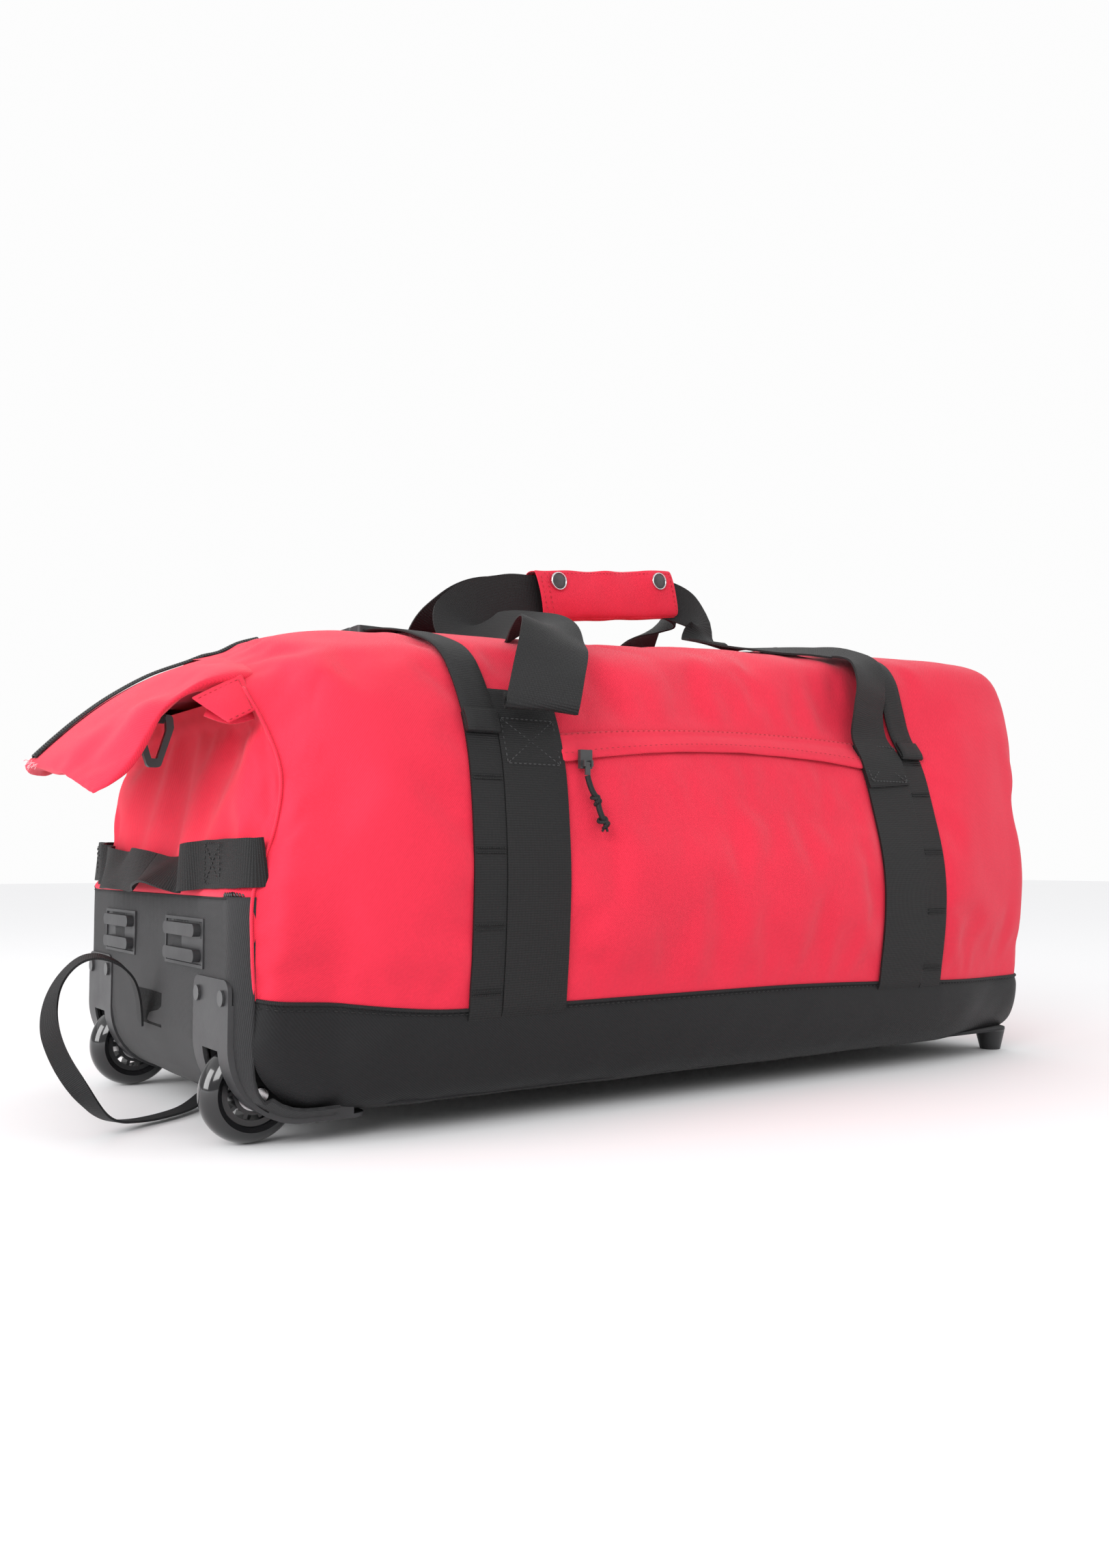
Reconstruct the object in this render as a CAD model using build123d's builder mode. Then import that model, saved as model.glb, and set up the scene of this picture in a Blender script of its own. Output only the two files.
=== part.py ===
"""Rolling duffel bag: soft zip-top bag on a stiffened wheel end, with inline wheels in wrap-round brackets.

Millimetres. +X runs along the bag from the wheel end to the foot end, +Y to the back, +Z up.
The origin is on the floor, under the middle of the bag. Fabric walls are thin closed slabs.
"""
import os
from math import cos, pi, radians, sin

from build123d import *

os.makedirs("parts", exist_ok=True)

# ---- driving dimensions ----
BODY_L = 755.0          # wheel-end panel to foot-end panel
BEAK_L = 90.0           # how far the folded top end juts out past the wheel end
X0 = -(BODY_L - BEAK_L) / 2     # plane of the wheel-end brackets
FRONT_Y = 180.0         # outer face of the front wall, in the middle
BACK_Y = 185.0          # outer face of the back wall, in the middle
END_Y = 165.0           # half width at both ends
FABRIC = 4.0            # padded fabric wall
WEBBING = 1.8           # webbing thickness
WALL_GAP = 0.7          # webbing to wall

FLOOR_GAP = 17.0        # underside of the bag above the floor
BASE_TOP = 82.0         # seam between the black base and the coloured walls
WALL_TOP = 272.0        # where the walls turn in towards the top

CREST_X, CREST_Z = X0 + 70.0, 338.0     # top line at the wheel end of the mouth
MOUTH_END = X0 + 700.0                  # foot end of the mouth
SLOPE = 0.056                           # the top line rises towards the foot end
LIP_Y = 88.0                            # mouth lips hinge at this half width
LIP_DROP = 8.0                          # outer edge of a lip below its inner edge

WHEEL_R, WHEEL_W = 32.0, 24.0
WHEEL_X, WHEEL_Y = X0 + 25.5, 124.7
HUB_R, HUB_RIM_R = 20.0, 17.0
BEARING_R, BORE_R, BEARING_W = 11.0, 4.05, 7.0
AXLE_R = 4.0
WELL_HALF = 15.5        # half width of the wheel's slot and well

CORNER_R = 50.0         # the wheel end turns under the bag on this radius
BRACKET_T = 2.5
BRACKET_W = 62.0
BRACKET_TOP = 102.6
SKID_Z = 14.0           # underside of the bracket's skid
SKID_END = X0 + 92.0
RIVET_R, RIVET_Z = 2.5, 91.7
RIVETS = [(X0, side * WHEEL_Y + step, RIVET_Z) for side in (-1, 1) for step in (-21.5, 21.5)]

STRAP_W, STRAP_THIN = 50.0, 25.0
STRAP_X = (X0 + 199.0, X0 + 556.0)      # wide straps, centre lines
THIN_X = (X0 + 161.5, X0 + 593.5)       # narrow straps and compression straps

POCKET_X = (X0 + 229.0, X0 + 526.0)
POCKET_Z = 244.0

WRAP_C = (X0 + 392.0, 0.0, 406.0)       # middle of the carry handle's wrap
WRAP_L, WRAP_H, WRAP_D = 149.0, 40.0, 18.0
WRAP_TILT = 7.0                         # the handle stands higher towards the foot end


def crest(x):
    """Height of the top line of the bag at x."""
    if x < CREST_X:
        return CREST_Z - (CREST_X - x) * 0.42
    return CREST_Z + (min(x, MOUTH_END) - CREST_X) * SLOPE


def save(piece, name):
    """Labels a finished part and writes it."""
    piece.part.label = name
    export_step(piece.part, f"parts/{name}.step")


def end_profile(inset, top, reach):
    """Line of the wheel end in XZ: down the end, round the lower corner and under the bag."""
    r = CORNER_R - inset
    x, low = X0 + inset, SKID_Z + inset
    centre_z = SKID_Z + CORNER_R
    bend = (X0 + CORNER_R - r * cos(radians(45)), centre_z - r * sin(radians(45)))
    Line((x, top), (x, centre_z))
    ThreePointArc((x, centre_z), bend, (X0 + CORNER_R, low))
    Line((X0 + CORNER_R, low), (reach, low))


XZ_FRONT = Plane(origin=(0, 0, 0), x_dir=(1, 0, 0), z_dir=(0, -1, 0))   # local x is X, local y is Z


# ---- the stiffened wheel end ----
PANEL_IN = BRACKET_T + 1.25             # mid line of the end panel behind the brackets
PANEL_HALF = WHEEL_Y + BRACKET_W / 2 - 2.9      # it ends inside the brackets' side flanges
with BuildPart() as wheel_end_panel:
    with BuildSketch(XZ_FRONT):
        with BuildLine():
            end_profile(PANEL_IN, 150, X0 + 68)
        trace(line_width=2.5)
    extrude(amount=PANEL_HALF, both=True)
    with Locations((X0 + 30, -WHEEL_Y, 25), (X0 + 30, WHEEL_Y, 25)):
        Box(62, 2 * WELL_HALF, 70, mode=Mode.SUBTRACT)
    with Locations(*RIVETS):
        Cylinder(RIVET_R, 30, rotation=(0, 90, 0), mode=Mode.SUBTRACT)
save(wheel_end_panel, "wheel_end_panel")

with BuildPart() as end_stiffener:
    with Locations((X0 + 6.0, 0, 112)):
        Box(1.5, 296, 74)
    with Locations(*RIVETS):
        Cylinder(RIVET_R, 30, rotation=(0, 90, 0), mode=Mode.SUBTRACT)
save(end_stiffener, "end_stiffener")

with BuildPart() as end_zip:
    with Locations((X0 + 1.0, 0, 152.6)):
        Box(4, 318, 4.6)
save(end_zip, "end_zip")

with BuildPart() as wheel_end_upper:
    with BuildSketch(XZ_FRONT):
        with BuildLine():
            Polyline((X0 + 5, 155.5), (X0 + 32, 235), (X0 + 30, 300))
        trace(line_width=FABRIC)
    extrude(amount=158, both=True)
save(wheel_end_upper, "wheel_end_upper")

BEAK_HALF = 118.0
BEAK_NEAR, BEAK_FAR = 20.0, 38.0        # the tip's front and back corners lie this much further in
RING_X, RING_Y, RING_TOP = X0 - 31.0, -104.0, 262.0     # strap ring under the front edge
with BuildPart() as beak:
    with BuildSketch(XZ_FRONT):
        with BuildLine():
            Polyline((X0 + 27, 319), (X0 - 20, 290), (X0 - 84, 240), (X0 - BEAK_L, 230), (X0 - 66, 214),
                     (X0 - 50, 236), (X0 - 30, 262), (X0, 276), (X0 + 26, 290), close=True)
        make_face()
    extrude(amount=BEAK_HALF, both=True)
    tip, edge, beyond = X0 - BEAK_L, BEAK_HALF + 1, X0 - BEAK_L - 10
    with BuildSketch(Plane.XY.offset(200)):
        for start, inset, side in ((-60, BEAK_NEAR, -1), (-20, BEAK_FAR, 1)):
            with BuildLine():
                Polyline((tip, start), (tip + inset, side * edge), (beyond, side * edge), (beyond, start),
                         close=True)
            make_face()
    extrude(amount=130, mode=Mode.SUBTRACT)
    with Locations((RING_X, -BEAK_HALF, 240)):          # room for the ring to hang and swing
        Box(30, 42, 53, mode=Mode.SUBTRACT)
    with Locations((RING_X, RING_Y + 3.2, RING_TOP + 6.2)):     # and for the tab that holds it
        Box(12.8, 9.6, 12.8, mode=Mode.SUBTRACT)
save(beak, "beak")

with BuildPart() as beak_zip:
    with BuildSketch(XZ_FRONT):
        with BuildLine():
            Polyline((X0 + 66, 340), (X0 + 27, 321.5), (X0 - 20, 292.5), (X0 - 74, 250))
        trace(line_width=2.4)
    extrude(amount=3.2, both=True)
save(beak_zip, "beak_zip")

# ---- walls of the bag ----
FOOT_X = X0 + BODY_L
FOOT_PLANE = Plane.YZ.offset(FOOT_X - FABRIC)


def wall_plan(outer, side):
    """Plan line of a side wall: full in the middle, drawn in at both ends."""
    y = outer - FABRIC / 2
    e = END_Y - FABRIC / 2
    stations = ((9, e), (60, y - 5), (130, y), (620, y), (690, y - 4), (749, e))
    Polyline(*[(X0 + x, side * v) for x, v in stations])


for name, outer, side in (("front", FRONT_Y, -1), ("back", BACK_Y, 1)):
    with BuildPart() as wall:
        with BuildSketch(Plane.XY.offset(BASE_TOP + 0.3)):
            with BuildLine():
                wall_plan(outer, side)
            trace(line_width=FABRIC)
        extrude(amount=WALL_TOP - BASE_TOP - 0.3)
    save(wall, f"{name}_panel")

BASE_LOW = FLOOR_GAP + FABRIC + 0.2
with BuildPart() as base_walls:
    for outer, side in ((FRONT_Y, -1), (BACK_Y, 1)):
        with BuildSketch(Plane.XY.offset(BASE_LOW)):
            with BuildLine():
                wall_plan(outer, side)
            trace(line_width=FABRIC)
        extrude(amount=BASE_TOP - BASE_LOW)
    with BuildSketch(XZ_FRONT):
        corner_x, corner_z = X0 + CORNER_R, SKID_Z + CORNER_R
        with BuildLine():
            ThreePointArc((X0 + 9, corner_z), (corner_x - 29, corner_z - 29), (corner_x, corner_z - 41))
            Polyline((corner_x, corner_z - 41), (corner_x, 0), (X0 - 20, 0), (X0 - 20, corner_z),
                     (X0 + 9, corner_z))
        make_face()
    extrude(amount=200, both=True, mode=Mode.SUBTRACT)
    with BuildSketch(FOOT_PLANE):
        with BuildLine():
            Polyline((-150, FLOOR_GAP + 2), (150, FLOOR_GAP + 2), (160, BASE_TOP), (-160, BASE_TOP),
                     close=True)
        make_face()
    extrude(amount=FABRIC)
save(base_walls, "base_walls")

with BuildPart() as bottom_panel:
    with BuildSketch(Plane.XY.offset(FLOOR_GAP)):
        with BuildLine():
            Polyline((X0 + 69, -PANEL_HALF), (X0 + 86, -PANEL_HALF), (X0 + 95, -FRONT_Y + 5),
                     (X0 + 130, -FRONT_Y), (X0 + 620, -FRONT_Y), (X0 + 744, -END_Y), (X0 + 744, END_Y),
                     (X0 + 620, BACK_Y), (X0 + 130, BACK_Y), (X0 + 95, BACK_Y - 5), (X0 + 86, PANEL_HALF),
                     (X0 + 69, PANEL_HALF), close=True)
        make_face()
    extrude(amount=FABRIC)
save(bottom_panel, "bottom_panel")

with BuildPart() as base_board:
    with Locations((X0 + 412, 0, FLOOR_GAP + FABRIC + 1.2)):
        Box(646, 330, 2)
    fillet(base_board.edges().filter_by(Axis.Z), radius=25)
save(base_board, "base_board")


with BuildPart() as foot_end_panel:
    with BuildSketch(FOOT_PLANE):
        with BuildLine():
            Polyline((-160, BASE_TOP + 0.3), (160, BASE_TOP + 0.3), (160, 292), (128, 334), (84, 357),
                     (-84, 357), (-128, 334), (-160, 292), close=True)
        make_face()
    extrude(amount=FABRIC)
save(foot_end_panel, "foot_end_panel")


def shoulder_line(x, outer):
    """Outer corners of a shoulder at x, from the hinge line of the lip down to the top of the wall."""
    top = crest(x) - LIP_DROP
    drop = top - WALL_TOP
    return ((LIP_Y + 0.5, top), (135, top - 0.3 * drop), (outer - 14, WALL_TOP + 0.42 * drop),
            (outer, WALL_TOP + 0.3))


def shoulder_section(x, outer, side):
    """Closed outline across a shoulder at x."""
    hinge, upper, lower, foot = shoulder_line(x, outer)
    points = (hinge, upper, lower, foot, (outer - FABRIC, foot[1]), (lower[0] - 3.6, lower[1] - 2),
              (upper[0] - 1.6, upper[1] - 3.6), (hinge[0], hinge[1] - 3))
    return [(side * y, z) for y, z in points]


def roof_section(x):
    """Closed outline of the fixed top between the hinge lines, beyond either end of the mouth."""
    top = crest(x)
    edge = top - LIP_DROP
    return [(-LIP_Y, edge), (0, top), (LIP_Y, edge), (LIP_Y, edge - 3), (0, top - 3), (-LIP_Y, edge - 3)]


SHOULDER_SPANS = ((X0 + 36, CREST_X), (CREST_X, MOUTH_END), (MOUTH_END, FOOT_X - 6))
with BuildPart() as top_panels:
    for outer, side in ((FRONT_Y, -1), (BACK_Y, 1)):
        for span in SHOULDER_SPANS:
            for x in span:
                with BuildSketch(Plane.YZ.offset(x)):
                    with BuildLine():
                        Polyline(*shoulder_section(x, outer, side), close=True)
                    make_face()
            loft(ruled=True)
    for span in ((X0 + 32, CREST_X - 1), (MOUTH_END + 1, FOOT_X - 5.2)):
        for x in span:
            with BuildSketch(Plane.YZ.offset(x)):
                with BuildLine():
                    Polyline(*roof_section(x), close=True)
                make_face()
        loft(ruled=True)
save(top_panels, "top_panels")

# ---- mouth lips with their halves of the main zip ----
ZIP_TAPE = 5.0          # half width of the closed zip
for name, side in (("front", -1), ("back", 1)):
    with BuildPart() as lip:
        for x in (CREST_X + 0.5, MOUTH_END - 0.5):
            top = crest(x)
            with BuildSketch(Plane.YZ.offset(x)):
                with BuildLine():
                    Polyline((side * LIP_Y, top - LIP_DROP), (side * ZIP_TAPE, top - 0.5),
                             (side * ZIP_TAPE, top - 3.5), (side * LIP_Y, top - LIP_DROP - 3), close=True)
                make_face()
        loft(ruled=True)
    save(lip, f"mouth_lip_{name}")
    with BuildPart() as coil:
        for x in (CREST_X + 0.5, MOUTH_END - 0.5):
            with BuildSketch(Plane.YZ.offset(x)):
                with Locations((side * (ZIP_TAPE + 0.9) / 2, crest(x) - 1.5)):
                    Rectangle(ZIP_TAPE - 0.9, 2.4)
        loft(ruled=True)
    save(coil, f"main_zip_{name}")

SLIDER_X = X0 + 548.0
slider_plane = Plane(origin=(SLIDER_X, 0, crest(SLIDER_X)), x_dir=(1, 0, SLOPE), z_dir=(-SLOPE, 0, 1))
with BuildPart(slider_plane) as main_slider:
    with Locations((0, 0, 1.6)):
        Box(14, 9, 2.4)
    with Locations((-5, -3.1, 4.2), (-5, 3.1, 4.2)):
        Box(4, 1.4, 2.8)
    with Locations((-5, 0, 4.1)):
        Cylinder(0.95, 20, rotation=(90, 0, 0), mode=Mode.SUBTRACT)
save(main_slider, "main_slider")

with BuildPart(slider_plane) as main_pull:
    with Locations((-5, 0, 4.1)):
        Cylinder(0.9, 7.4, rotation=(90, 0, 0))
    with Locations((-16, 0, 4.1)):
        Box(22, 4.4, 1.2)
save(main_pull, "main_pull")

# ---- wheel brackets, wells, axles and wheels ----
FLANGE_D, FLANGE_T, FLANGE_IN = 9.0, 2.4, 2.0     # depth, thickness, overlap into the bracket


def flange_outline(start, stop, inset):
    """Lines round the side flange between two angles of the lower corner, following the bracket's curve."""
    cx, cz = X0 + CORNER_R, SKID_Z + CORNER_R
    angles = (start, (start + stop) / 2, stop)
    outside, inside = [[(cx + r * cos(radians(a)), cz + r * sin(radians(a))) for a in angles]
                       for r in (CORNER_R - inset, CORNER_R - FLANGE_D)]
    ThreePointArc(*outside)
    Line(outside[2], inside[2])
    ThreePointArc(*reversed(inside))
    Line(inside[0], outside[0])


with BuildPart() as brackets:
    for side in (-1, 1):
        mid = side * WHEEL_Y
        with BuildSketch(XZ_FRONT.offset(-mid)):
            with BuildLine():
                end_profile(BRACKET_T / 2, BRACKET_TOP, SKID_END)
            trace(line_width=BRACKET_T)
        extrude(amount=BRACKET_W / 2, both=True)
    fillet(brackets.edges().filter_by(Axis.X).group_by(Axis.Z)[-1], radius=8)
    fillet(brackets.edges().filter_by(Axis.Z).group_by(Axis.X)[-1], radius=10)
    with Locations(*RIVETS):
        Cylinder(RIVET_R, 10, rotation=(0, 90, 0), mode=Mode.SUBTRACT)
    for side in (-1, 1):
        mid = side * WHEEL_Y
        with Locations((X0 + 28, mid, 29.5)):
            Box(62, 27, 60, mode=Mode.SUBTRACT)
        flange_y = mid + side * (BRACKET_W / 2 - FLANGE_T)
        with BuildSketch(XZ_FRONT.offset(-flange_y)):
            for start, stop in ((180, 222), (240, 270)):
                with BuildLine():
                    flange_outline(start, stop, FLANGE_IN)
                make_face()
            with Locations((X0 + (FLANGE_IN + FLANGE_D) / 2, SKID_Z + CORNER_R + 12)):
                Rectangle(FLANGE_D - FLANGE_IN, 24)
            with Locations((X0 + CORNER_R + 16, SKID_Z + (FLANGE_IN + FLANGE_D) / 2)):
                Rectangle(32, FLANGE_D - FLANGE_IN)
        extrude(amount=-side * FLANGE_T)
save(brackets, "brackets")

with BuildPart() as wells:
    for mid in (-WHEEL_Y, WHEEL_Y):
        with BuildSketch(XZ_FRONT.offset(-mid)):
            with BuildLine():
                end_profile(5.2, 70, X0 + 64)
                Polyline((X0 + 64, SKID_Z + 5.2), (X0 + 64, 70), (X0 + 5.2, 70))
            make_face()
        extrude(amount=WELL_HALF + 2.2, both=True)
        with Locations((X0 + 26, mid, 25)):
            Box(72, 2 * WELL_HALF, 85.6, mode=Mode.SUBTRACT)
        with Locations((WHEEL_X, mid, WHEEL_R)):
            Cylinder(AXLE_R, 60, rotation=(90, 0, 0), mode=Mode.SUBTRACT)
save(wells, "wheel_wells")

AXLE_HALF = WELL_HALF + 2.25
SPACER_L = WELL_HALF - 10.5
with BuildPart() as axles:
    for mid in (-WHEEL_Y, WHEEL_Y):
        with Locations((WHEEL_X, mid, WHEEL_R)):
            Cylinder(AXLE_R, 2 * AXLE_HALF, rotation=(90, 0, 0))
        with Locations((WHEEL_X, mid - AXLE_HALF - 1.5, WHEEL_R), (WHEEL_X, mid + AXLE_HALF + 1.5, WHEEL_R)):
            Cylinder(AXLE_R + 0.5, 3, rotation=(90, 0, 0))
save(axles, "axles")

with BuildPart() as spacers:
    for mid in (-WHEEL_Y, WHEEL_Y):
        for step in (-1, 1):
            with Locations((WHEEL_X, mid + step * (WELL_HALF + 10.3) / 2, WHEEL_R)):
                Cylinder(6.2, SPACER_L, rotation=(90, 0, 0))
                Cylinder(AXLE_R, WELL_HALF, rotation=(90, 0, 0), mode=Mode.SUBTRACT)
save(spacers, "axle_spacers")

for name, mid in (("near", -WHEEL_Y), ("far", WHEEL_Y)):
    wheel_section = Plane(origin=(WHEEL_X, mid, WHEEL_R), x_dir=(1, 0, 0), z_dir=(0, 0, 1))
    axis = Axis((WHEEL_X, mid, WHEEL_R), (0, 1, 0))
    with BuildPart() as tyre:
        with BuildSketch(wheel_section):
            with BuildLine():
                Polyline((21, -WHEEL_W / 2 + 1.5), (HUB_R + 0.5, -9), (HUB_R, 0), (HUB_R + 0.5, 9),
                         (21, WHEEL_W / 2 - 1.5))
                Line((21, WHEEL_W / 2 - 1.5), (24, WHEEL_W / 2))
                ThreePointArc((24, WHEEL_W / 2), (WHEEL_R, 0), (24, -WHEEL_W / 2))
                Line((24, -WHEEL_W / 2), (21, -WHEEL_W / 2 + 1.5))
            make_face()
        revolve(axis=axis)
    save(tyre, f"tyre_{name}")

    with BuildPart() as hub:
        with BuildSketch(wheel_section):
            with BuildLine():
                Polyline((HUB_RIM_R, -9), (HUB_R + 0.5, -9), (HUB_R, 0), (HUB_R + 0.5, 9), (HUB_RIM_R, 9),
                         close=True)
            make_face()
        revolve(axis=axis)
        with BuildSketch(wheel_section):
            with Locations((12.2, 0)):
                Rectangle(2.4, 20.6)
            with Locations((10.2, 0)):
                Rectangle(2.0, 6.4)
        revolve(axis=axis)
        with Locations(Plane(origin=(WHEEL_X, mid, WHEEL_R), x_dir=(1, 0, 0), z_dir=(0, -1, 0))):
            with PolarLocations(15.3, 10):
                Box(4.4, 2.4, 14)
    save(hub, f"hub_{name}")

    with BuildPart() as bearings:
        for offset_y in (-6.75, 6.75):
            with Locations((WHEEL_X, mid + offset_y, WHEEL_R)):
                Cylinder(BEARING_R, BEARING_W, rotation=(90, 0, 0))
                Cylinder(BORE_R, 3 * BEARING_W, rotation=(90, 0, 0), mode=Mode.SUBTRACT)
    save(bearings, f"bearings_{name}")

RIVET_PLANE = Plane(origin=(X0, 0, 0), x_dir=(0, -1, 0), z_dir=(-1, 0, 0))     # faces out of the wheel end
with BuildPart() as bracket_rivets:
    with BuildSketch(RIVET_PLANE.offset(-9)):
        with Locations(*[(-y, z) for _, y, z in RIVETS]):
            Circle(RIVET_R)
    extrude(amount=9.1)
    with BuildSketch(RIVET_PLANE.offset(0.05)):
        with Locations(*[(-y, z) for _, y, z in RIVETS]):
            Circle(4.8)
    extrude(amount=1.7)
save(bracket_rivets, "bracket_rivets")

with BuildPart() as rivet_washers:
    with BuildSketch(RIVET_PLANE.offset(-8.2)):
        with Locations(*[(-y, z) for _, y, z in RIVETS]):
            Circle(7)
            Circle(RIVET_R, mode=Mode.SUBTRACT)
    extrude(amount=1.2)
save(rivet_washers, "rivet_washers")

# ---- ribbed rub plates and hook-and-loop patch on the end panel ----
PLATE_X = X0 + BRACKET_T
with BuildPart() as rub_plates:
    for y in (-72.5, 72.5):
        with Locations((PLATE_X - 0.8, y, 122)):
            Box(1.4, 75, 31)
        for z in (114, 130):
            with BuildSketch(Plane(origin=(PLATE_X - 1.4, y, z), x_dir=(0, 1, 0), z_dir=(-1, 0, 0))):
                SlotOverall(62, 8)
            extrude(amount=5)
        with BuildSketch(Plane(origin=(PLATE_X - 1.4, y, 122), x_dir=(0, 1, 0), z_dir=(-1, 0, 0))):
            Rectangle(75, 31)
            Rectangle(71, 27, mode=Mode.SUBTRACT)
        extrude(amount=1.2)
save(rub_plates, "rub_plates")

with BuildPart() as hook_patch:
    with Locations((PLATE_X - 0.85, 0, 73)):
        Box(1.5, 52, 23)
save(hook_patch, "hook_patch")

# ---- feet ----
with BuildPart() as feet:
    with Locations((FOOT_X - 17, -134, FLOOR_GAP / 2 - 0.05), (FOOT_X - 17, 134, FLOOR_GAP / 2 - 0.05)):
        Cone(bottom_radius=9, top_radius=13, height=FLOOR_GAP - 0.1)
save(feet, "feet")

# ---- webbing round the body ----
FRONT_W = FRONT_Y + WALL_GAP + WEBBING / 2
BACK_W = BACK_Y + WALL_GAP + WEBBING / 2
LOW_W = FLOOR_GAP - WALL_GAP - WEBBING / 2


WRAP_ROUND = [(-FRONT_W, WALL_TOP), (-FRONT_W, LOW_W), (BACK_W, LOW_W), (BACK_W, WALL_TOP)]
for name, width, places in (("carry_straps", STRAP_W, STRAP_X), ("daisy_straps", STRAP_THIN - 0.6, THIN_X)):
    with BuildPart() as straps:
        for x in places:
            with BuildSketch(Plane.YZ.offset(x - width / 2)):
                with BuildLine():
                    FilletPolyline(*WRAP_ROUND, radius=2)
                trace(line_width=WEBBING)
            extrude(amount=width)
    save(straps, name)

# ---- compression straps over the top, with side-release buckles ----
BUCKLE_Y = -8.0         # joint between plug and socket
SOCKET_L, PLUG_L, BUCKLE_W, BUCKLE_H = 26.0, 15.0, 33.0, 7.0
BUCKLE_LIFT = 1.2 + BUCKLE_H / 2        # mid height of a buckle above the top line
with BuildPart() as sockets:
    for x in THIN_X:
        rest = crest(x) + BUCKLE_LIFT
        with Locations((x, BUCKLE_Y + SOCKET_L / 2, rest)):
            Box(BUCKLE_W, SOCKET_L, BUCKLE_H)
    fillet(sockets.edges().filter_by(Axis.Z), radius=3)
    for x in THIN_X:
        rest = crest(x) + BUCKLE_LIFT
        with Locations((x, BUCKLE_Y + 10, rest)):
            Box(BUCKLE_W - 8, 20, 3.8, mode=Mode.SUBTRACT)
        with Locations((x - BUCKLE_W / 2, BUCKLE_Y + 12, rest), (x + BUCKLE_W / 2, BUCKLE_Y + 12, rest)):
            Box(10, 9, 3.8, mode=Mode.SUBTRACT)
save(sockets, "buckle_sockets")

with BuildPart() as back_runs:
    for x in THIN_X:
        hinge, upper, lower, foot = shoulder_line(x, BACK_Y)
        with BuildSketch(Plane.YZ.offset(x - STRAP_THIN / 2)):
            with BuildLine():
                Polyline((BUCKLE_Y + SOCKET_L + 1.2, crest(x) + 2.4), (hinge[0] + 2, hinge[1] + 3.4),
                         (upper[0] + 2, upper[1] + 3.4), (lower[0] + 3, lower[1] + 3), (BACK_W, WALL_TOP + 1.5))
            trace(line_width=WEBBING)
        extrude(amount=STRAP_THIN)
save(back_runs, "compression_back")

for name, x in zip(("wheel_side", "foot_side"), THIN_X):
    rest = crest(x) + BUCKLE_LIFT
    with BuildPart() as plug:
        with Locations((x, BUCKLE_Y - 0.4 - PLUG_L / 2, rest)):
            Box(BUCKLE_W, PLUG_L, BUCKLE_H - 0.6)
            fillet(plug.edges().filter_by(Axis.Z), radius=2.5)
            Box(26, 4, 20, mode=Mode.SUBTRACT)
        with Locations((x - 9, BUCKLE_Y + 8, rest), (x + 9, BUCKLE_Y + 8, rest)):
            Box(5, 18, 3.0)
        with Locations((x, BUCKLE_Y + 7, rest)):
            Box(4, 16, 3.0)
    save(plug, f"buckle_plug_{name}")
    hinge, upper, lower, foot = shoulder_line(x, FRONT_Y)
    with BuildPart() as front_run:
        with BuildSketch(Plane.YZ.offset(x - STRAP_THIN / 2)):
            with BuildLine():
                Polyline((BUCKLE_Y - PLUG_L - 1.6, crest(x) + 2.6), (-hinge[0] - 2, hinge[1] + 3.4),
                         (-upper[0] - 2, upper[1] + 3.4), (-lower[0] - 3, lower[1] + 3),
                         (-FRONT_W - 2.8, WALL_TOP), (-FRONT_W - 2.8, 258))
            trace(line_width=WEBBING)
        extrude(amount=STRAP_THIN)
    save(front_run, f"compression_front_{name}")

# ---- front zip pocket ----
pocket_mid = (POCKET_X[0] + POCKET_X[1]) / 2
pocket_len = POCKET_X[1] - POCKET_X[0]
with BuildPart() as pocket_zip:
    with Locations((pocket_mid, -FRONT_Y - 0.75, POCKET_Z)):
        Box(pocket_len, 1.3, 5)
save(pocket_zip, "pocket_zip")

with BuildPart() as pocket_flap:
    with BuildSketch(Plane.YZ.offset(POCKET_X[0])):
        with BuildLine():
            Polyline((-FRONT_Y - 1.4, 266), (-FRONT_Y - 6.1, 258), (-FRONT_Y - 6.1, POCKET_Z + 1))
        trace(line_width=1.4)
    extrude(amount=pocket_len)
save(pocket_flap, "pocket_flap")

with BuildPart() as pocket_lining:
    with Locations((pocket_mid, -FRONT_Y + FABRIC + 1.2, 175)):
        Box(pocket_len - 4, 1.2, 150)
save(pocket_lining, "pocket_lining")

PULL_X = POCKET_X[0] + 11.0
PULL_Y = -FRONT_Y - 5.9
PULL_Z = POCKET_Z - 4.0
with BuildPart() as pocket_slider:
    with Locations((PULL_X, -FRONT_Y - 3.2, POCKET_Z - 1)):
        Box(10, 3, 13)
    with Locations((PULL_X - 3.1, PULL_Y, PULL_Z), (PULL_X + 3.1, PULL_Y, PULL_Z)):
        Box(1.5, 3.2, 4.4)
    with Locations((PULL_X, PULL_Y, PULL_Z)):
        Cylinder(0.95, 20, rotation=(0, 90, 0), mode=Mode.SUBTRACT)
save(pocket_slider, "pocket_slider")

TAB_L = 8.0
with BuildPart() as pocket_tab:
    with Locations((PULL_X, PULL_Y, PULL_Z)):
        Cylinder(0.9, 7.4, rotation=(0, 90, 0))
    with Locations((PULL_X, PULL_Y, PULL_Z - TAB_L / 2)):
        Box(4.2, 1.2, TAB_L)
save(pocket_tab, "pocket_tab")

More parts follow.
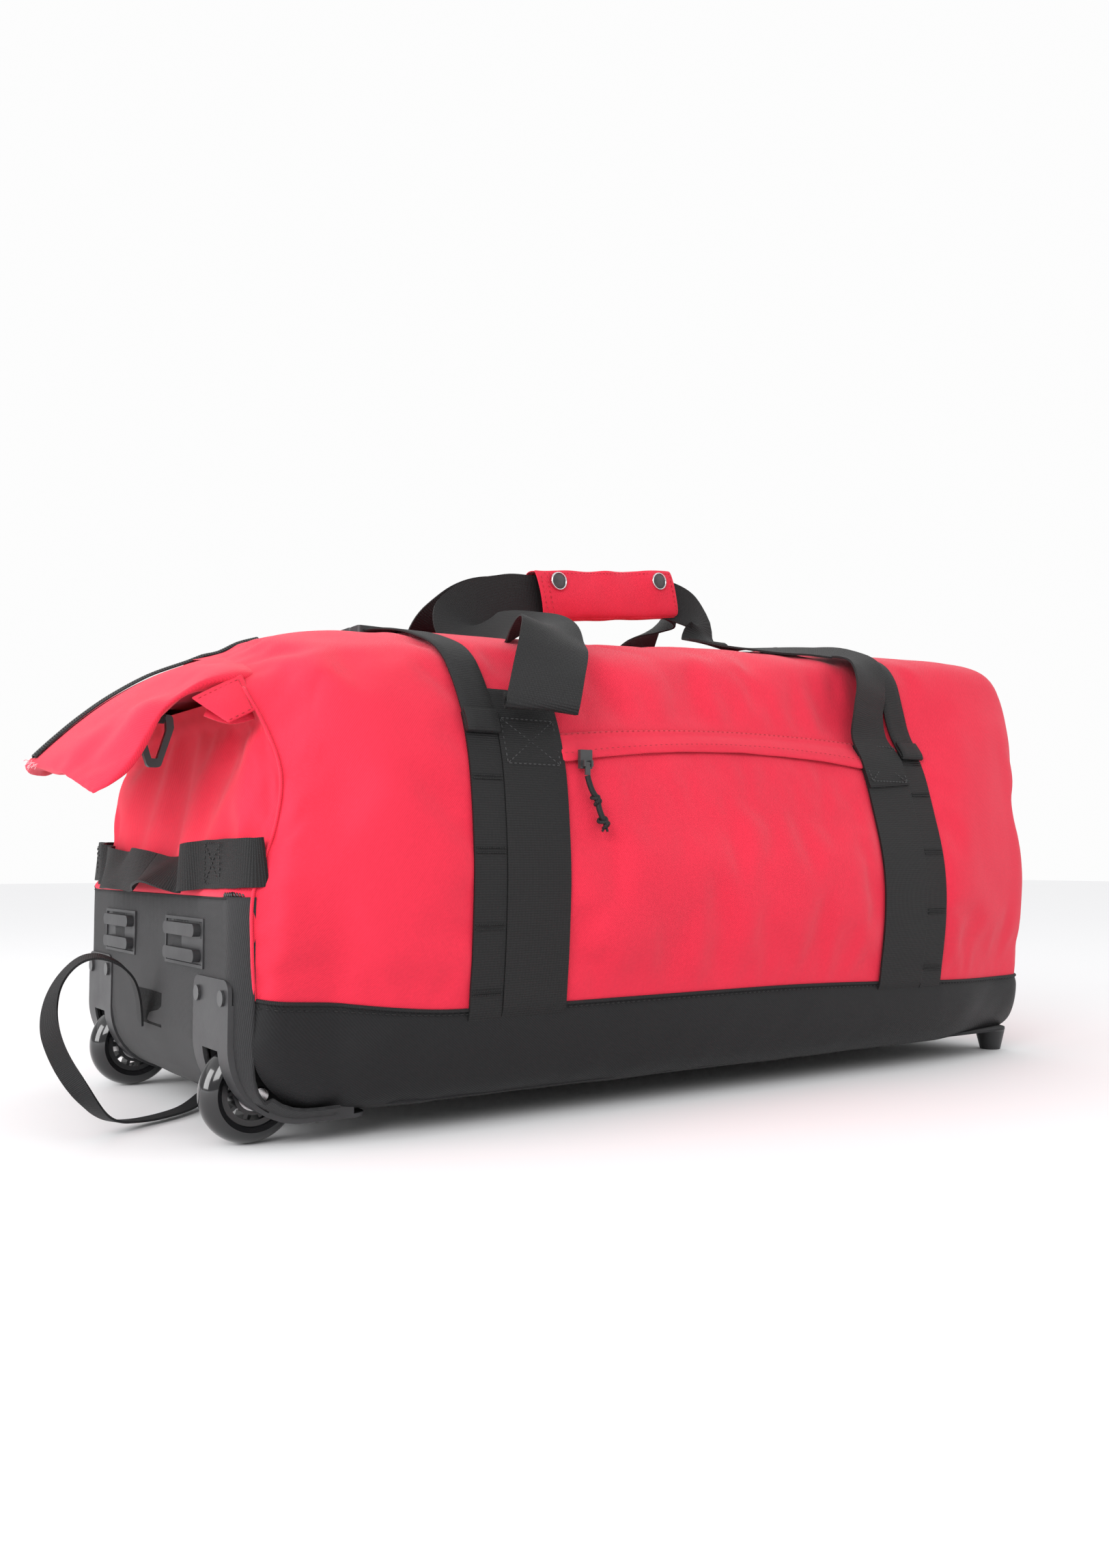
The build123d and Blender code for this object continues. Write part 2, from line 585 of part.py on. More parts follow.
# ---- carry handle: wrap with a snap flap round the two webbing loops ----
wrap_x = (cos(radians(WRAP_TILT)), 0, sin(radians(WRAP_TILT)))
wrap_plane = Plane(origin=WRAP_C, x_dir=wrap_x, z_dir=(0, -1, 0))
with BuildPart() as wrap_cover:
    with BuildSketch(wrap_plane.offset(-WRAP_D / 2)):
        Rectangle(WRAP_L, WRAP_H)
    extrude(amount=2.2)
    with BuildSketch(wrap_plane.offset(-WRAP_D / 2 + 2.2)):
        with Locations((0, WRAP_H / 2 - 1.1), (0, -WRAP_H / 2 + 1.1)):
            Rectangle(WRAP_L, 2.2)
    extrude(amount=WRAP_D - 5)
save(wrap_cover, "wrap_cover")

with BuildPart() as handle_core:
    with BuildSketch(wrap_plane.offset(-5)):
        Rectangle(WRAP_L, 34)
    extrude(amount=10)
save(handle_core, "handle_core")

with BuildPart() as wrap_flap:
    with BuildSketch(wrap_plane.offset(WRAP_D / 2 - 2.2)):
        Rectangle(WRAP_L, WRAP_H)
    extrude(amount=2.2)
    with BuildSketch(wrap_plane.offset(WRAP_D / 2 - 2.2)):
        with Locations((-55, 11), (55, 11)):
            Circle(2.6)
    extrude(amount=10, mode=Mode.SUBTRACT)
save(wrap_flap, "wrap_flap")

with BuildPart() as snap_caps:
    with BuildSketch(wrap_plane.offset(WRAP_D / 2)):
        with Locations((-55, 11), (55, 11)):
            Circle(7.5)
    extrude(amount=2.2)
    with BuildSketch(wrap_plane.offset(WRAP_D / 2 - 2.2)):
        with Locations((-55, 11), (55, 11)):
            Circle(2.6)
    extrude(amount=2.2)
save(snap_caps, "snap_caps")

with BuildPart() as snap_studs:
    with BuildSketch(wrap_plane.offset(5)):
        with Locations((-55, 11), (55, 11)):
            Circle(4.2)
    extrude(amount=1.2)
save(snap_studs, "snap_studs")


half_run = (WRAP_L / 2 + 1.5) * cos(radians(WRAP_TILT))
rise = (WRAP_L / 2 + 1.5) * sin(radians(WRAP_TILT))
LEG_W = 44.0
with BuildPart() as handle_webbing:
    for side, wall_y in ((-1, FRONT_Y), (1, BACK_Y)):
        for sign, x in zip((-1, 1), STRAP_X):
            low = Vector(x, side * (wall_y - 14), crest(x) - 3)
            high = Vector(WRAP_C[0] + sign * (half_run + 22), side * 26, WRAP_C[2] + sign * rise - 4)
            run = low - high
            across = Vector(-run.Y, run.X, 0).normalized()
            with BuildSketch(Plane(origin=(low + high) / 2, x_dir=run.normalized(), z_dir=run.cross(across))):
                Rectangle(run.length, LEG_W)
            extrude(amount=WEBBING / 2, both=True)
            with Locations((x, side * (wall_y + 1.6), (low.Z + WALL_TOP) / 2)):
                Box(LEG_W, WEBBING, low.Z - WALL_TOP - 8)
save(handle_webbing, "handle_webbing")

# ---- grab handle across the wheel end ----
GRAB_Z, GRAB_H = 173.5, 30.0
with BuildPart() as grab_ends:
    for side in (-1, 1):
        with BuildSketch(Plane.XY.offset(GRAB_Z - GRAB_H / 2)):
            with BuildLine():
                Polyline((X0 + 6.5, side * 166.5), (X0 + 1, side * 158), (X0 + 1, side * 108))
            trace(line_width=WEBBING)
        extrude(amount=GRAB_H)
save(grab_ends, "grab_handle_ends")

with BuildPart() as grab_webbing:
    with BuildSketch(Plane.XY.offset(GRAB_Z - GRAB_H / 2)):
        with BuildLine():
            Polyline((X0 + 1, -107.4), (X0 - 9, -88), (X0 - 14, -30), (X0 - 14, 30), (X0 - 9, 88),
                     (X0 + 1, 107.4))
        trace(line_width=WEBBING)
    extrude(amount=GRAB_H)
save(grab_webbing, "grab_handle_webbing")

# ---- plastic strap ring under the folded top end ----
RING_BAR_R, LOOP_W = 2.0, 12.0
ring_plane = Plane(origin=(RING_X, RING_Y, RING_TOP), x_dir=(1, 0, 0), z_dir=(0, -1, 0))
with BuildPart() as strap_ring:
    with BuildSketch(ring_plane) as outline:
        with BuildLine():
            Polyline((-11, 2), (11, 2), (12, -6), (4, -31), (-4, -31), (-12, -6), close=True)
        make_face()
        fillet(outline.vertices().group_by(Axis.Z)[0], radius=3)
    extrude(amount=RING_BAR_R, both=True)
    with BuildSketch(ring_plane):
        with BuildLine():
            Polyline((-6.6, 4), (6.6, 4), (7.2, -8), (1.8, -25.5), (-1.8, -25.5), (-7.2, -8), close=True)
        make_face()
    extrude(amount=10, both=True, mode=Mode.SUBTRACT)
    with Locations((RING_X, RING_Y, RING_TOP)):
        Cylinder(RING_BAR_R, LOOP_W + 3, rotation=(0, 90, 0))
save(strap_ring, "strap_ring")

with BuildPart() as ring_tab:
    with Locations((RING_X, RING_Y, RING_TOP)):
        Cylinder(RING_BAR_R + 1.5, LOOP_W, rotation=(0, 90, 0))
    with Locations((RING_X, RING_Y, RING_TOP + 6.5)):
        Box(LOOP_W, 2.4, 11)
    with Locations((RING_X, RING_Y + 3.2, RING_TOP + 10)):
        Box(LOOP_W, 8.8, 4)
    with Locations((RING_X, RING_Y, RING_TOP)):
        Cylinder(RING_BAR_R + 0.05, 2 * LOOP_W, rotation=(0, 90, 0), mode=Mode.SUBTRACT)
save(ring_tab, "ring_tab")


# ---- cords ----
def route_radii(points):
    """Largest even bend at each corner of a route: 0.45 of the shorter run over the tangent of half the turn."""
    radii = []
    for before, corner, after in zip(points, points[1:], points[2:]):
        run_in, run_out = Vector(*corner) - Vector(*before), Vector(*after) - Vector(*corner)
        half_turn = radians(run_in.get_angle(run_out)) / 2
        radii.append(0.45 * min(run_in.length, run_out.length) * cos(half_turn) / sin(half_turn))
    print("radii", [round(r, 1) for r in radii])
    return radii


def cord(points, diameter, name):
    """A round tube of straight runs and tangent arcs along a route."""
    with BuildPart() as tube:
        with BuildLine():
            path = FilletPolyline(*points, radius=route_radii(points))
        with BuildSketch(Plane(origin=path @ 0, z_dir=path % 0)):
            Circle(diameter / 2)
        sweep()
    length = path.length
    print(name, "length", round(length, 1), "volume ratio",
          round(tube.part.volume / (pi * diameter ** 2 / 4 * length), 3))
    save(tube, name)


# Pull strap: sewn under the bag behind the wheels, its other end stuck to the hook-and-loop patch.
PULL_STRAP_D = 6.0      # stands for webbing 12 mm wide
pull_route = [(-4, 4, 63), (-9, -9, 86), (-24, -21, 106), (-47, -18, 113), (-64, -10, 94), (-73, -28, 71),
              (-72, -56, 51), (-59, -69, 28), (-42, -55, 9), (-18, -38, 3.3), (8, -26, 3.2), (31, -5, 3.4),
              (50, 19, 8)]
cord([(X0 + x, y, z) for x, y, z in pull_route], PULL_STRAP_D, "pull_strap")

# Knotted cord on the pocket's zip pull.
PULL_CORD_D = 4.0
tab_end = PULL_Z - TAB_L - 0.5
cord_route = [(0, 0, 0), (1.2, -1.6, -8.5), (6.4, -2.8, -16), (6.8, -4.6, -25), (11, -5, -32)]
cord_points = [(PULL_X + x, PULL_Y + y, tab_end + z) for x, y, z in cord_route]
cord(cord_points, PULL_CORD_D, "pocket_cord")

last_run = Vector(*cord_points[-1]) - Vector(*cord_points[-2])
with BuildPart() as cord_knot:
    with BuildSketch(Plane(origin=cord_points[-1], z_dir=last_run.normalized())):
        Circle(4)
    extrude(amount=7)
    fillet(cord_knot.edges(), radius=2)
save(cord_knot, "cord_knot")
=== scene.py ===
"""Looks of the rolling duffel bag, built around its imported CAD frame. Metres, +X to the foot end, +Z up."""
from math import ceil, cos, exp, pi, radians, sin

import bpy
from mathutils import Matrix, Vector, kdtree, noise

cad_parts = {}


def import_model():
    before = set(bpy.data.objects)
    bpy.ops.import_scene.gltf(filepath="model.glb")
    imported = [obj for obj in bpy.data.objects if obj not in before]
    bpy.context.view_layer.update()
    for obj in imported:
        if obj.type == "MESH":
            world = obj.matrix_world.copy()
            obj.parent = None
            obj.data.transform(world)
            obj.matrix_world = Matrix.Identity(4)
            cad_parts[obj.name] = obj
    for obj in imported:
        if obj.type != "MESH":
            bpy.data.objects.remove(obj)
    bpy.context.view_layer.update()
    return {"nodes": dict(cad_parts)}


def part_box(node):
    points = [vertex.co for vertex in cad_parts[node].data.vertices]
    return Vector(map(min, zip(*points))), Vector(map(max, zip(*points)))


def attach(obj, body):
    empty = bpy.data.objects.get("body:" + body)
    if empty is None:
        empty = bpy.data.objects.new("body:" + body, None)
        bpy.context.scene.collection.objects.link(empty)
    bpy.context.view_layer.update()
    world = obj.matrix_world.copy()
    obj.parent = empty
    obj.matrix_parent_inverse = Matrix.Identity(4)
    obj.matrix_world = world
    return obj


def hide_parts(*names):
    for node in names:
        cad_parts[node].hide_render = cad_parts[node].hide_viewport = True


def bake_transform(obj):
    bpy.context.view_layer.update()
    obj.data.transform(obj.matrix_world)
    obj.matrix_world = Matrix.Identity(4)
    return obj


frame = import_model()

MM = 0.001
scene = bpy.context.scene

# ---- places taken from the frame ----
X0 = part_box("brackets")[0].x                    # plane of the wheel end
LENGTH = (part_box("foot_end_panel")[1].x - X0) / MM
WHEEL_NEAR = (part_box("tyre_near")[0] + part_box("tyre_near")[1]) / 2
FRONT_Y = -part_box("front_panel")[0].y / MM      # half depths of the walls
BACK_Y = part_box("back_panel")[1].y / MM
HALVES = (("front", FRONT_Y, -1), ("back", BACK_Y, 1))
UNDERSIDE = 17.0                                # height of the base's cloth over the floor
MOUTH = [(v.x - X0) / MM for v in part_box("mouth_lip_front")]
LIP_HINGE = -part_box("mouth_lip_front")[0].y / MM
POCKET = [(v.x - X0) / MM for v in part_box("pocket_flap")]


def strap_middles(node, width):
    """Middles of the two straps of that width that a node holds."""
    low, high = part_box(node)
    return (low.x - X0) / MM + width / 2, (high.x - X0) / MM - width / 2


WIDE_WIDTH, THIN_WIDTH = 50, 24.4
WIDE = strap_middles("carry_straps", WIDE_WIDTH)
THIN = strap_middles("daisy_straps", THIN_WIDTH)


def at(t, y, z):
    """A point t mm along the bag from the wheel end, y mm towards the back and z mm above the floor."""
    return Vector((X0 + t * MM, y * MM, z * MM))


# ---- camera ----
CAMERA_LENS = 29.03                     # mm, on a 36 mm sensor
CAMERA_PLACE = (-265.6, -884.9, 174.1)
CAMERA_PITCH, CAMERA_TURN = 0.060, -0.600


def add_camera():
    data = bpy.data.cameras.new("camera")
    data.sensor_width = 36
    data.lens = CAMERA_LENS
    data.clip_start = 0.05
    camera = bpy.data.objects.new("camera", data)
    scene.collection.objects.link(camera)
    camera.location = at(*CAMERA_PLACE)
    camera.rotation_euler = (pi / 2 + CAMERA_PITCH, 0, CAMERA_TURN)
    scene.camera = camera


add_camera()


# ---- node materials ----
def principled(name, color, roughness, **inputs):
    material = bpy.data.materials.new(name)
    material.use_nodes = True
    shader = material.node_tree.nodes["Principled BSDF"]
    shader.inputs["Base Color"].default_value = (*color, 1)
    shader.inputs["Roughness"].default_value = roughness
    for key, value in inputs.items():
        shader.inputs[key.replace("_", " ")].default_value = value
    return material


class Nodes:
    """Short calls for adding nodes to a material."""

    def __init__(self, material):
        self.tree = material.node_tree
        self.shader = self.tree.nodes["Principled BSDF"]

    def add(self, kind, **values):
        node = self.tree.nodes.new(kind)
        for key, value in values.items():
            if key in node.inputs:
                node.inputs[key].default_value = value
            else:
                setattr(node, key, value)
        return node

    def link(self, a, out, b, inp):
        self.tree.links.new(a.outputs[out], b.inputs[inp])

    def weave_uv(self, turn=0.0):
        """UV in metres along and across the cloth, turned in its plane."""
        uv = self.add("ShaderNodeUVMap")
        uv.uv_map = "weave"
        mapping = self.add("ShaderNodeMapping")
        mapping.inputs["Rotation"].default_value = (0, 0, turn)
        self.link(uv, "UV", mapping, "Vector")
        return mapping

    def object_noise(self, scale, detail=3.0, rough=0.5, stretch=(1, 1, 1)):
        coord = self.add("ShaderNodeTexCoord")
        mapping = self.add("ShaderNodeMapping")
        mapping.inputs["Scale"].default_value = stretch
        self.link(coord, "Object", mapping, "Vector")
        node = self.add("ShaderNodeTexNoise", Scale=scale, Detail=detail, Roughness=rough)
        self.link(mapping, "Vector", node, "Vector")
        return node

    def wave(self, vector, pitch, direction="X", distortion=0.0):
        """Ribs a pitch apart, in metres."""
        node = self.add("ShaderNodeTexWave", Scale=0.1 * pi / pitch, Distortion=distortion)
        node.bands_direction = direction
        node.inputs["Detail Scale"].default_value = 3.0
        self.link(vector, "Vector", node, "Vector")
        return node

    def math(self, operation, a, b):
        node = self.add("ShaderNodeMath", operation=operation)
        for i, source in enumerate((a, b)):
            if isinstance(source, (int, float)):
                node.inputs[i].default_value = source
            else:
                self.tree.links.new(source, node.inputs[i])
        return node.outputs[0]

    def ramp(self, value, low, high, low_color, high_color):
        node = self.add("ShaderNodeValToRGB")
        first, last = node.color_ramp.elements
        first.position, last.position = low, high
        first.color, last.color = (*low_color, 1), (*high_color, 1)
        self.tree.links.new(value, node.inputs["Fac"])
        return node

    def color(self, ramp):
        self.link(ramp, "Color", self.shader, "Base Color")

    def bumps(self, *layers):
        """Stacks bump nodes: (height output, strength, distance in metres)."""
        last = None
        for height, strength, distance in layers:
            node = self.add("ShaderNodeBump", Strength=strength, Distance=distance)
            self.tree.links.new(height, node.inputs["Height"])
            if last:
                self.link(last, "Normal", node, "Normal")
            last = node
        self.link(last, "Normal", self.shader, "Normal")


def scaled(color, k):
    return tuple(c * k for c in color)


def cloth_material(name, color, pitch, turn, rough, sheen, depth=0.00025, spread=0.16, tint=(1, 1, 1)):
    """Woven cloth: fine slanting ribs crossed by fainter ones, with slow changes of shade."""
    material = principled(name, color, rough, Sheen_Weight=sheen, Sheen_Roughness=0.45)
    n = Nodes(material)
    n.shader.inputs["Sheen Tint"].default_value = (*tint, 1)
    n.shader.inputs["Specular IOR Level"].default_value = 0.22
    ribs = n.wave(n.weave_uv(turn), pitch, distortion=0.35)
    cross = n.wave(n.weave_uv(turn + pi / 2), pitch * 0.55, distortion=0.2)
    weave = n.math("ADD", n.math("MULTIPLY", ribs.outputs["Fac"], 0.7), n.math("MULTIPLY", cross.outputs["Fac"], 0.3))
    slow = n.object_noise(7.0, 4.0, 0.55)
    fine = n.object_noise(420.0, 2.0, 0.6)
    mix = n.math("ADD", n.math("MULTIPLY", weave, 0.34),
                 n.math("ADD", n.math("MULTIPLY", slow.outputs["Fac"], 0.42),
                        n.math("MULTIPLY", fine.outputs["Fac"], 0.24)))
    n.color(n.ramp(mix, 0.25, 0.75, scaled(color, 1 - spread), scaled(color, 1 + spread * 0.6)))
    n.bumps((n.object_noise(38.0, 3.0, 0.5).outputs["Fac"], 0.35, 0.0012), (weave, 0.5, depth))
    return material


def webbing_material(name, color, rib=0.0016, spread=0.3):
    """Woven strap: ribs across its width, with a tighter selvage-like line pattern along it."""
    material = principled(name, color, 0.6, Sheen_Weight=0.02, Sheen_Roughness=0.5, Specular_IOR_Level=0.3)
    n = Nodes(material)
    uv = n.weave_uv()
    ribs = n.wave(uv, rib, "X", 0.25)
    lines = n.wave(uv, rib * 0.62, "Y", 0.15)
    weave = n.math("MULTIPLY", n.math("ADD", ribs.outputs["Fac"], 0.35), n.math("ADD", lines.outputs["Fac"], 0.6))
    slow = n.object_noise(16.0, 3.0)
    mix = n.math("ADD", n.math("MULTIPLY", weave, 0.3), n.math("MULTIPLY", slow.outputs["Fac"], 0.5))
    n.color(n.ramp(mix, 0.25, 0.85, scaled(color, 1 - spread), scaled(color, 1 + spread)))
    n.bumps((weave, 0.6, 0.0004))
    return material


def moulded_material(name, color, rough, grain=900.0, depth=0.00012, **inputs):
    """Moulded plastic or metal: fine spark-eroded grain, faint uneven gloss and rubbed patches."""
    material = principled(name, color, rough, **inputs)
    n = Nodes(material)
    smear = n.object_noise(26.0, 4.0, 0.6)
    n.color(n.ramp(smear.outputs["Fac"], 0.3, 0.75, scaled(color, 0.82), scaled(color, 1.2)))
    shine = n.add("ShaderNodeMapRange", **{"From Min": 0.3, "From Max": 0.7})
    shine.inputs["To Min"].default_value = max(rough - 0.07, 0.03)
    shine.inputs["To Max"].default_value = min(rough + 0.09, 1.0)
    n.link(smear, "Fac", shine, "Value")
    n.link(shine, "Result", n.shader, "Roughness")
    n.bumps((n.object_noise(grain, 2.0).outputs["Fac"], 0.4, depth))
    return material


RED = (0.72, 0.022, 0.055)
M = {
    "red": cloth_material("red_twill", RED, 0.0011, radians(38), 0.72, 0.3, 0.0003, 0.2, tint=(1.0, 0.45, 0.5)),
    "base": cloth_material("black_weave", (0.010, 0.010, 0.011), 0.0013, radians(52), 0.5, 0.03, 0.0004, 0.45),
    "end": cloth_material("end_weave", (0.022, 0.022, 0.0235), 0.0012, radians(8), 0.62, 0.08, 0.0005, 0.4),
    "webbing": webbing_material("black_webbing", (0.0085, 0.0085, 0.009)),
    "tape": webbing_material("fine_tape", (0.010, 0.010, 0.011), 0.0011, 0.2),
    "plastic": moulded_material("satin_plastic", (0.036, 0.036, 0.038), 0.42, Specular_IOR_Level=0.35),
    "tyre": moulded_material("gloss_urethane", (0.008, 0.008, 0.009), 0.10, 60.0, 0.00002, Coat_Weight=0.4),
    "hub": moulded_material("gloss_hub", (0.012, 0.012, 0.013), 0.2, 400.0, 0.00003),
    "steel": moulded_material("bright_steel", (0.62, 0.62, 0.63), 0.2, 500.0, 0.00002, Metallic=1.0),
    "rivet": moulded_material("black_lacquer", (0.04, 0.04, 0.042), 0.3, 500.0, 0.00003),
    "zip": moulded_material("coil_nylon", (0.016, 0.016, 0.017), 0.38, 700.0, 0.00005),
    "lining": cloth_material("thin_lining", (0.02, 0.02, 0.022), 0.0009, 0.0, 0.8, 0.1),
    "cord": webbing_material("braided_cord", (0.015, 0.015, 0.016), 0.0012),
    "thread": principled("black_thread", (0.004, 0.004, 0.0045), 0.5),
    "red_thread": principled("red_thread", (0.38, 0.008, 0.022), 0.6),
    "grey_thread": principled("grey_thread", (0.045, 0.045, 0.047), 0.6),
    "pale_thread": principled("pale_thread", (0.86, 0.42, 0.46), 0.7),
}


def hook_material():
    """Hook-and-loop tape: a fuzzy field of tiny loops."""
    material = principled("hook_tape", (0.012, 0.012, 0.013), 0.9, Specular_IOR_Level=0.15)
    n = Nodes(material)
    fuzz = n.object_noise(900.0, 3.0, 0.7)
    n.color(n.ramp(fuzz.outputs["Fac"], 0.35, 0.7, (0.004, 0.004, 0.004), (0.022, 0.022, 0.023)))
    n.bumps((fuzz.outputs["Fac"], 1.0, 0.001))
    return material


M["hook"] = hook_material()


# ---- mesh helpers ----
def smooth(a, b, x):
    """0 below a, 1 above b and an even curve between."""
    k = min(max((x - a) / (b - a), 0), 1)
    return k * k * (3 - 2 * k)


def catmull(points, k, t):
    """Catmull-Rom between points[k] and points[k + 1]; the ends run straight on."""
    p1, p2 = points[k], points[k + 1]
    p0 = points[k - 1] if k > 0 else p1 * 2 - p2
    p3 = points[k + 2] if k + 2 < len(points) else p2 * 2 - p1
    return ((p1 * 2) + (p2 - p0) * t + (p0 * 2 - p1 * 5 + p2 * 4 - p3) * t ** 2
            + (p1 * 3 - p0 - p2 * 3 + p3) * t ** 3) * 0.5


def curve_point(points, s):
    """A point at parameter s, counted in control points."""
    k = min(int(s), len(points) - 2)
    return catmull(points, k, s - k)


def spread(gaps, cell, whole=round):
    """Parameters over spans of those lengths, about one cell apart."""
    params = []
    for k, gap in enumerate(gaps):
        n = max(1, whole(gap / cell))
        params += [k + i / n for i in range(n)]
    return params + [len(gaps)]


def path_params(points, step):
    """Parameters along the curve through the points, at most step metres apart."""
    return spread([(b - a).length for a, b in zip(points, points[1:])], step, ceil)


def smooth_path(points, step):
    return [curve_point(points, s) for s in path_params(points, step)]


def heading(line, i):
    return (line[min(i + 1, len(line) - 1)] - line[max(i - 1, 0)]).normalized()


def path_length(line):
    return sum((b - a).length for a, b in zip(line, line[1:]))


def tube_faces(rings, count, first=0, flip=False, caps=True):
    """Faces round a tube made of rings of count vertices, with its two ends."""
    faces = []
    for i in range(rings - 1):
        for j in range(count):
            a, b = first + i * count + j, first + i * count + (j + 1) % count
            faces.append((a, b, b + count, a + count))
    if caps:
        end = first + (rings - 1) * count
        faces += [tuple(reversed(range(first, first + count))), tuple(range(end, end + count))]
    return [(f[0], *f[:0:-1]) for f in faces] if flip else faces


def new_mesh(name, verts, faces, material, uv=None, smooth=True):
    mesh = bpy.data.meshes.new(name)
    mesh.from_pydata([tuple(v) for v in verts], [], faces)
    layer = mesh.uv_layers.new(name="weave")
    if uv:
        for loop in mesh.loops:
            layer.data[loop.index].uv = uv[loop.vertex_index]
    for polygon in mesh.polygons:
        polygon.use_smooth = smooth
    mesh.materials.append(material)
    mesh.update()
    obj = bpy.data.objects.new(name, mesh)
    scene.collection.objects.link(obj)
    return obj


def grid_uv(rows):
    """UV in metres measured along the middle row and column of a grid of points."""
    mid_row, mid_col = rows[len(rows) // 2], [r[len(rows[0]) // 2] for r in rows]
    us, vs = [0.0], [0.0]
    for a, b in zip(mid_row, mid_row[1:]):
        us.append(us[-1] + (b - a).length)
    for a, b in zip(mid_col, mid_col[1:]):
        vs.append(vs[-1] + (b - a).length)
    return [(u, v) for v in vs for u in us]


def grid(name, rows, material, flip=False):
    """A sheet through rows of points."""
    width = len(rows[0])
    verts = [p for row in rows for p in row]
    faces = []
    for i in range(len(rows) - 1):
        for j in range(width - 1):
            a = i * width + j
            quad = (a, a + 1, a + width + 1, a + width)
            faces.append(tuple(reversed(quad)) if flip else quad)
    return new_mesh(name, verts, faces, material, grid_uv(rows))


def apply_modifiers(obj):
    bpy.context.view_layer.update()
    graph = bpy.context.evaluated_depsgraph_get()
    mesh = bpy.data.meshes.new_from_object(obj.evaluated_get(graph), depsgraph=graph)
    obj.modifiers.clear()
    old = obj.data
    obj.data = mesh
    bpy.data.meshes.remove(old)
    return obj


def subdivide(obj, levels=1):
    sub = obj.modifiers.new("sub", "SUBSURF")
    sub.levels = sub.render_levels = levels
    sub.boundary_smooth = "PRESERVE_CORNERS"
    return apply_modifiers(obj)


def thicken(obj, thickness, offset=-1.0, levels=0):
    solid = obj.modifiers.new("solid", "SOLIDIFY")
    solid.thickness, solid.offset = thickness, offset
    apply_modifiers(obj)
    return subdivide(obj, levels) if levels else obj


def band(name, line, sides, halves, thick, cells, material, smooth=True):
    """Flat webbing along a line, with the direction of its width and its half width at every point."""
    verts, uv, along, ring = [], [], 0.0, 2 * (cells + 1)
    for i, (centre, side, half) in enumerate(zip(line, sides, halves)):
        ahead = heading(line, i)
        side = (side - ahead * side.dot(ahead)).normalized()
        up = side.cross(ahead)
        along += (centre - line[i - 1]).length if i else 0
        for layer in (1, -1):
            for j in range(cells + 1):
                f = (-1 + 2 * j / cells) * layer
                verts.append(centre + side * half * f + up * layer * thick * MM / 2)
                uv.append((along, half * (f + 1)))
    return new_mesh(name, verts, tube_faces(len(line), ring, flip=True), material, uv, smooth)


def ribbon(name, centres, acrosses, width, material, thick=1.8, step=0.004, cells=6, taper=1.0):
    """Flat webbing through centre points, each with the direction of its width.

    Its last part gathers to taper times its width.
    """
    params = path_params(centres, step)
    line = [curve_point(centres, s) for s in params]
    across_points = [Vector(a).normalized() for a in acrosses]
    sides = [curve_point(across_points, s).normalized() for s in params]
    halves = [width * MM / 2 * (1 + (taper - 1) * smooth(0.7, 0.84, i / (len(line) - 1))) for i in range(len(line))]
    obj = band(name, line, sides, halves, thick, cells, material)
    ring = 2 * (cells + 1)
    corners = (0, cells, cells + 1, ring - 1)
    for edge in obj.data.edges:
        i, j = (v % ring for v in edge.vertices)
        if {i, j} in ({cells, cells + 1}, {0, ring - 1}) or i == j and i in corners:
            edge.use_edge_sharp = True
    return obj


def straight_ribbon(name, centres, width, thick=1.6, step=0.005, cells=4):
    """Black webbing whose width lies along the bag."""
    return ribbon(name, centres, [Vector((1, 0, 0))] * len(centres), width, M["webbing"], thick, step, cells)


def tube(name, centres, radius, material, sides=8, step=0.003):
    """A round closed tube through centre points."""
    line = smooth_path(centres, step)
    verts, uv, along = [], [], 0.0
    side = Vector((0.3, 0.5, 0.8))
    for i, centre in enumerate(line):
        ahead = heading(line, i)
        side = (side - ahead * side.dot(ahead)).normalized()
        other = ahead.cross(side)
        along += (centre - line[i - 1]).length if i else 0
        for j in range(sides):
            angle = 2 * pi * j / sides
            verts.append(centre + (side * cos(angle) + other * sin(angle)) * radius)
            uv.append((along, radius * angle))
    return new_mesh(name, verts, tube_faces(len(line), sides), material, uv)


BEAD = ((-0.5, 0.3), (-0.25, 1.0), (0.25, 1.0), (0.5, 0.3))     # places along a stitch and its share of the radius


def stitches(name, lines, material, length=2.6, gap=1.4, radius=0.35):
    """Dashes of thread along lines of points, each dash a small six-sided bead."""
    verts, faces = [], []
    for a, b in (pair for line in lines for pair in zip(line, line[1:])):
        run = b - a
        count = max(1, int(run.length / ((length + gap) * MM)))
        way = run.normalized()
        side = way.cross(Vector((0.31, 0.53, 0.79))).normalized()
        other = way.cross(side)
        for i in range(count):
            mid = a + run * ((i + 0.5) / count)
            faces += tube_faces(len(BEAD), 6, len(verts))
            for along, grow in BEAD:
                for j in range(6):
                    ring = (side * cos(pi * j / 3) + other * sin(pi * j / 3)) * radius * MM * grow
                    verts.append(mid + way * along * length * MM + ring)
    return new_mesh(name, verts, faces, material)


def crossed_box(c):
    """The lines of a stitched box with a cross in it, from its four corners."""
    return [[c[0], c[1]], [c[1], c[2]], [c[2], c[3]], [c[3], c[0]], [c[0], c[2]], [c[1], c[3]]]


# ---- the bag's skin ----
# A net of control points in mm (t along the bag, y outward from the middle, z up). Each station runs
# from the seam with the black base up the wall and over the shoulder to the zip.
def crest(t):
    """Top line of the bag: low over the wheel end, rising towards the foot end."""
    points = ((0, 306), (23, 320), (69, 334), (99, 340), (160, 346), (360, 355), (590, 369), (700, 373), (755, 371))
    for (a, za), (b, zb) in zip(points, points[1:]):
        if t <= b:
            return za + (zb - za) * (t - a) / (b - a)
    return points[-1][1]


def seam_z(t):
    """Seam between the black base and the coloured walls."""
    return 78 + 13 * (1 - smooth(0, 150, t)) - 9 * smooth(400, 740, t)


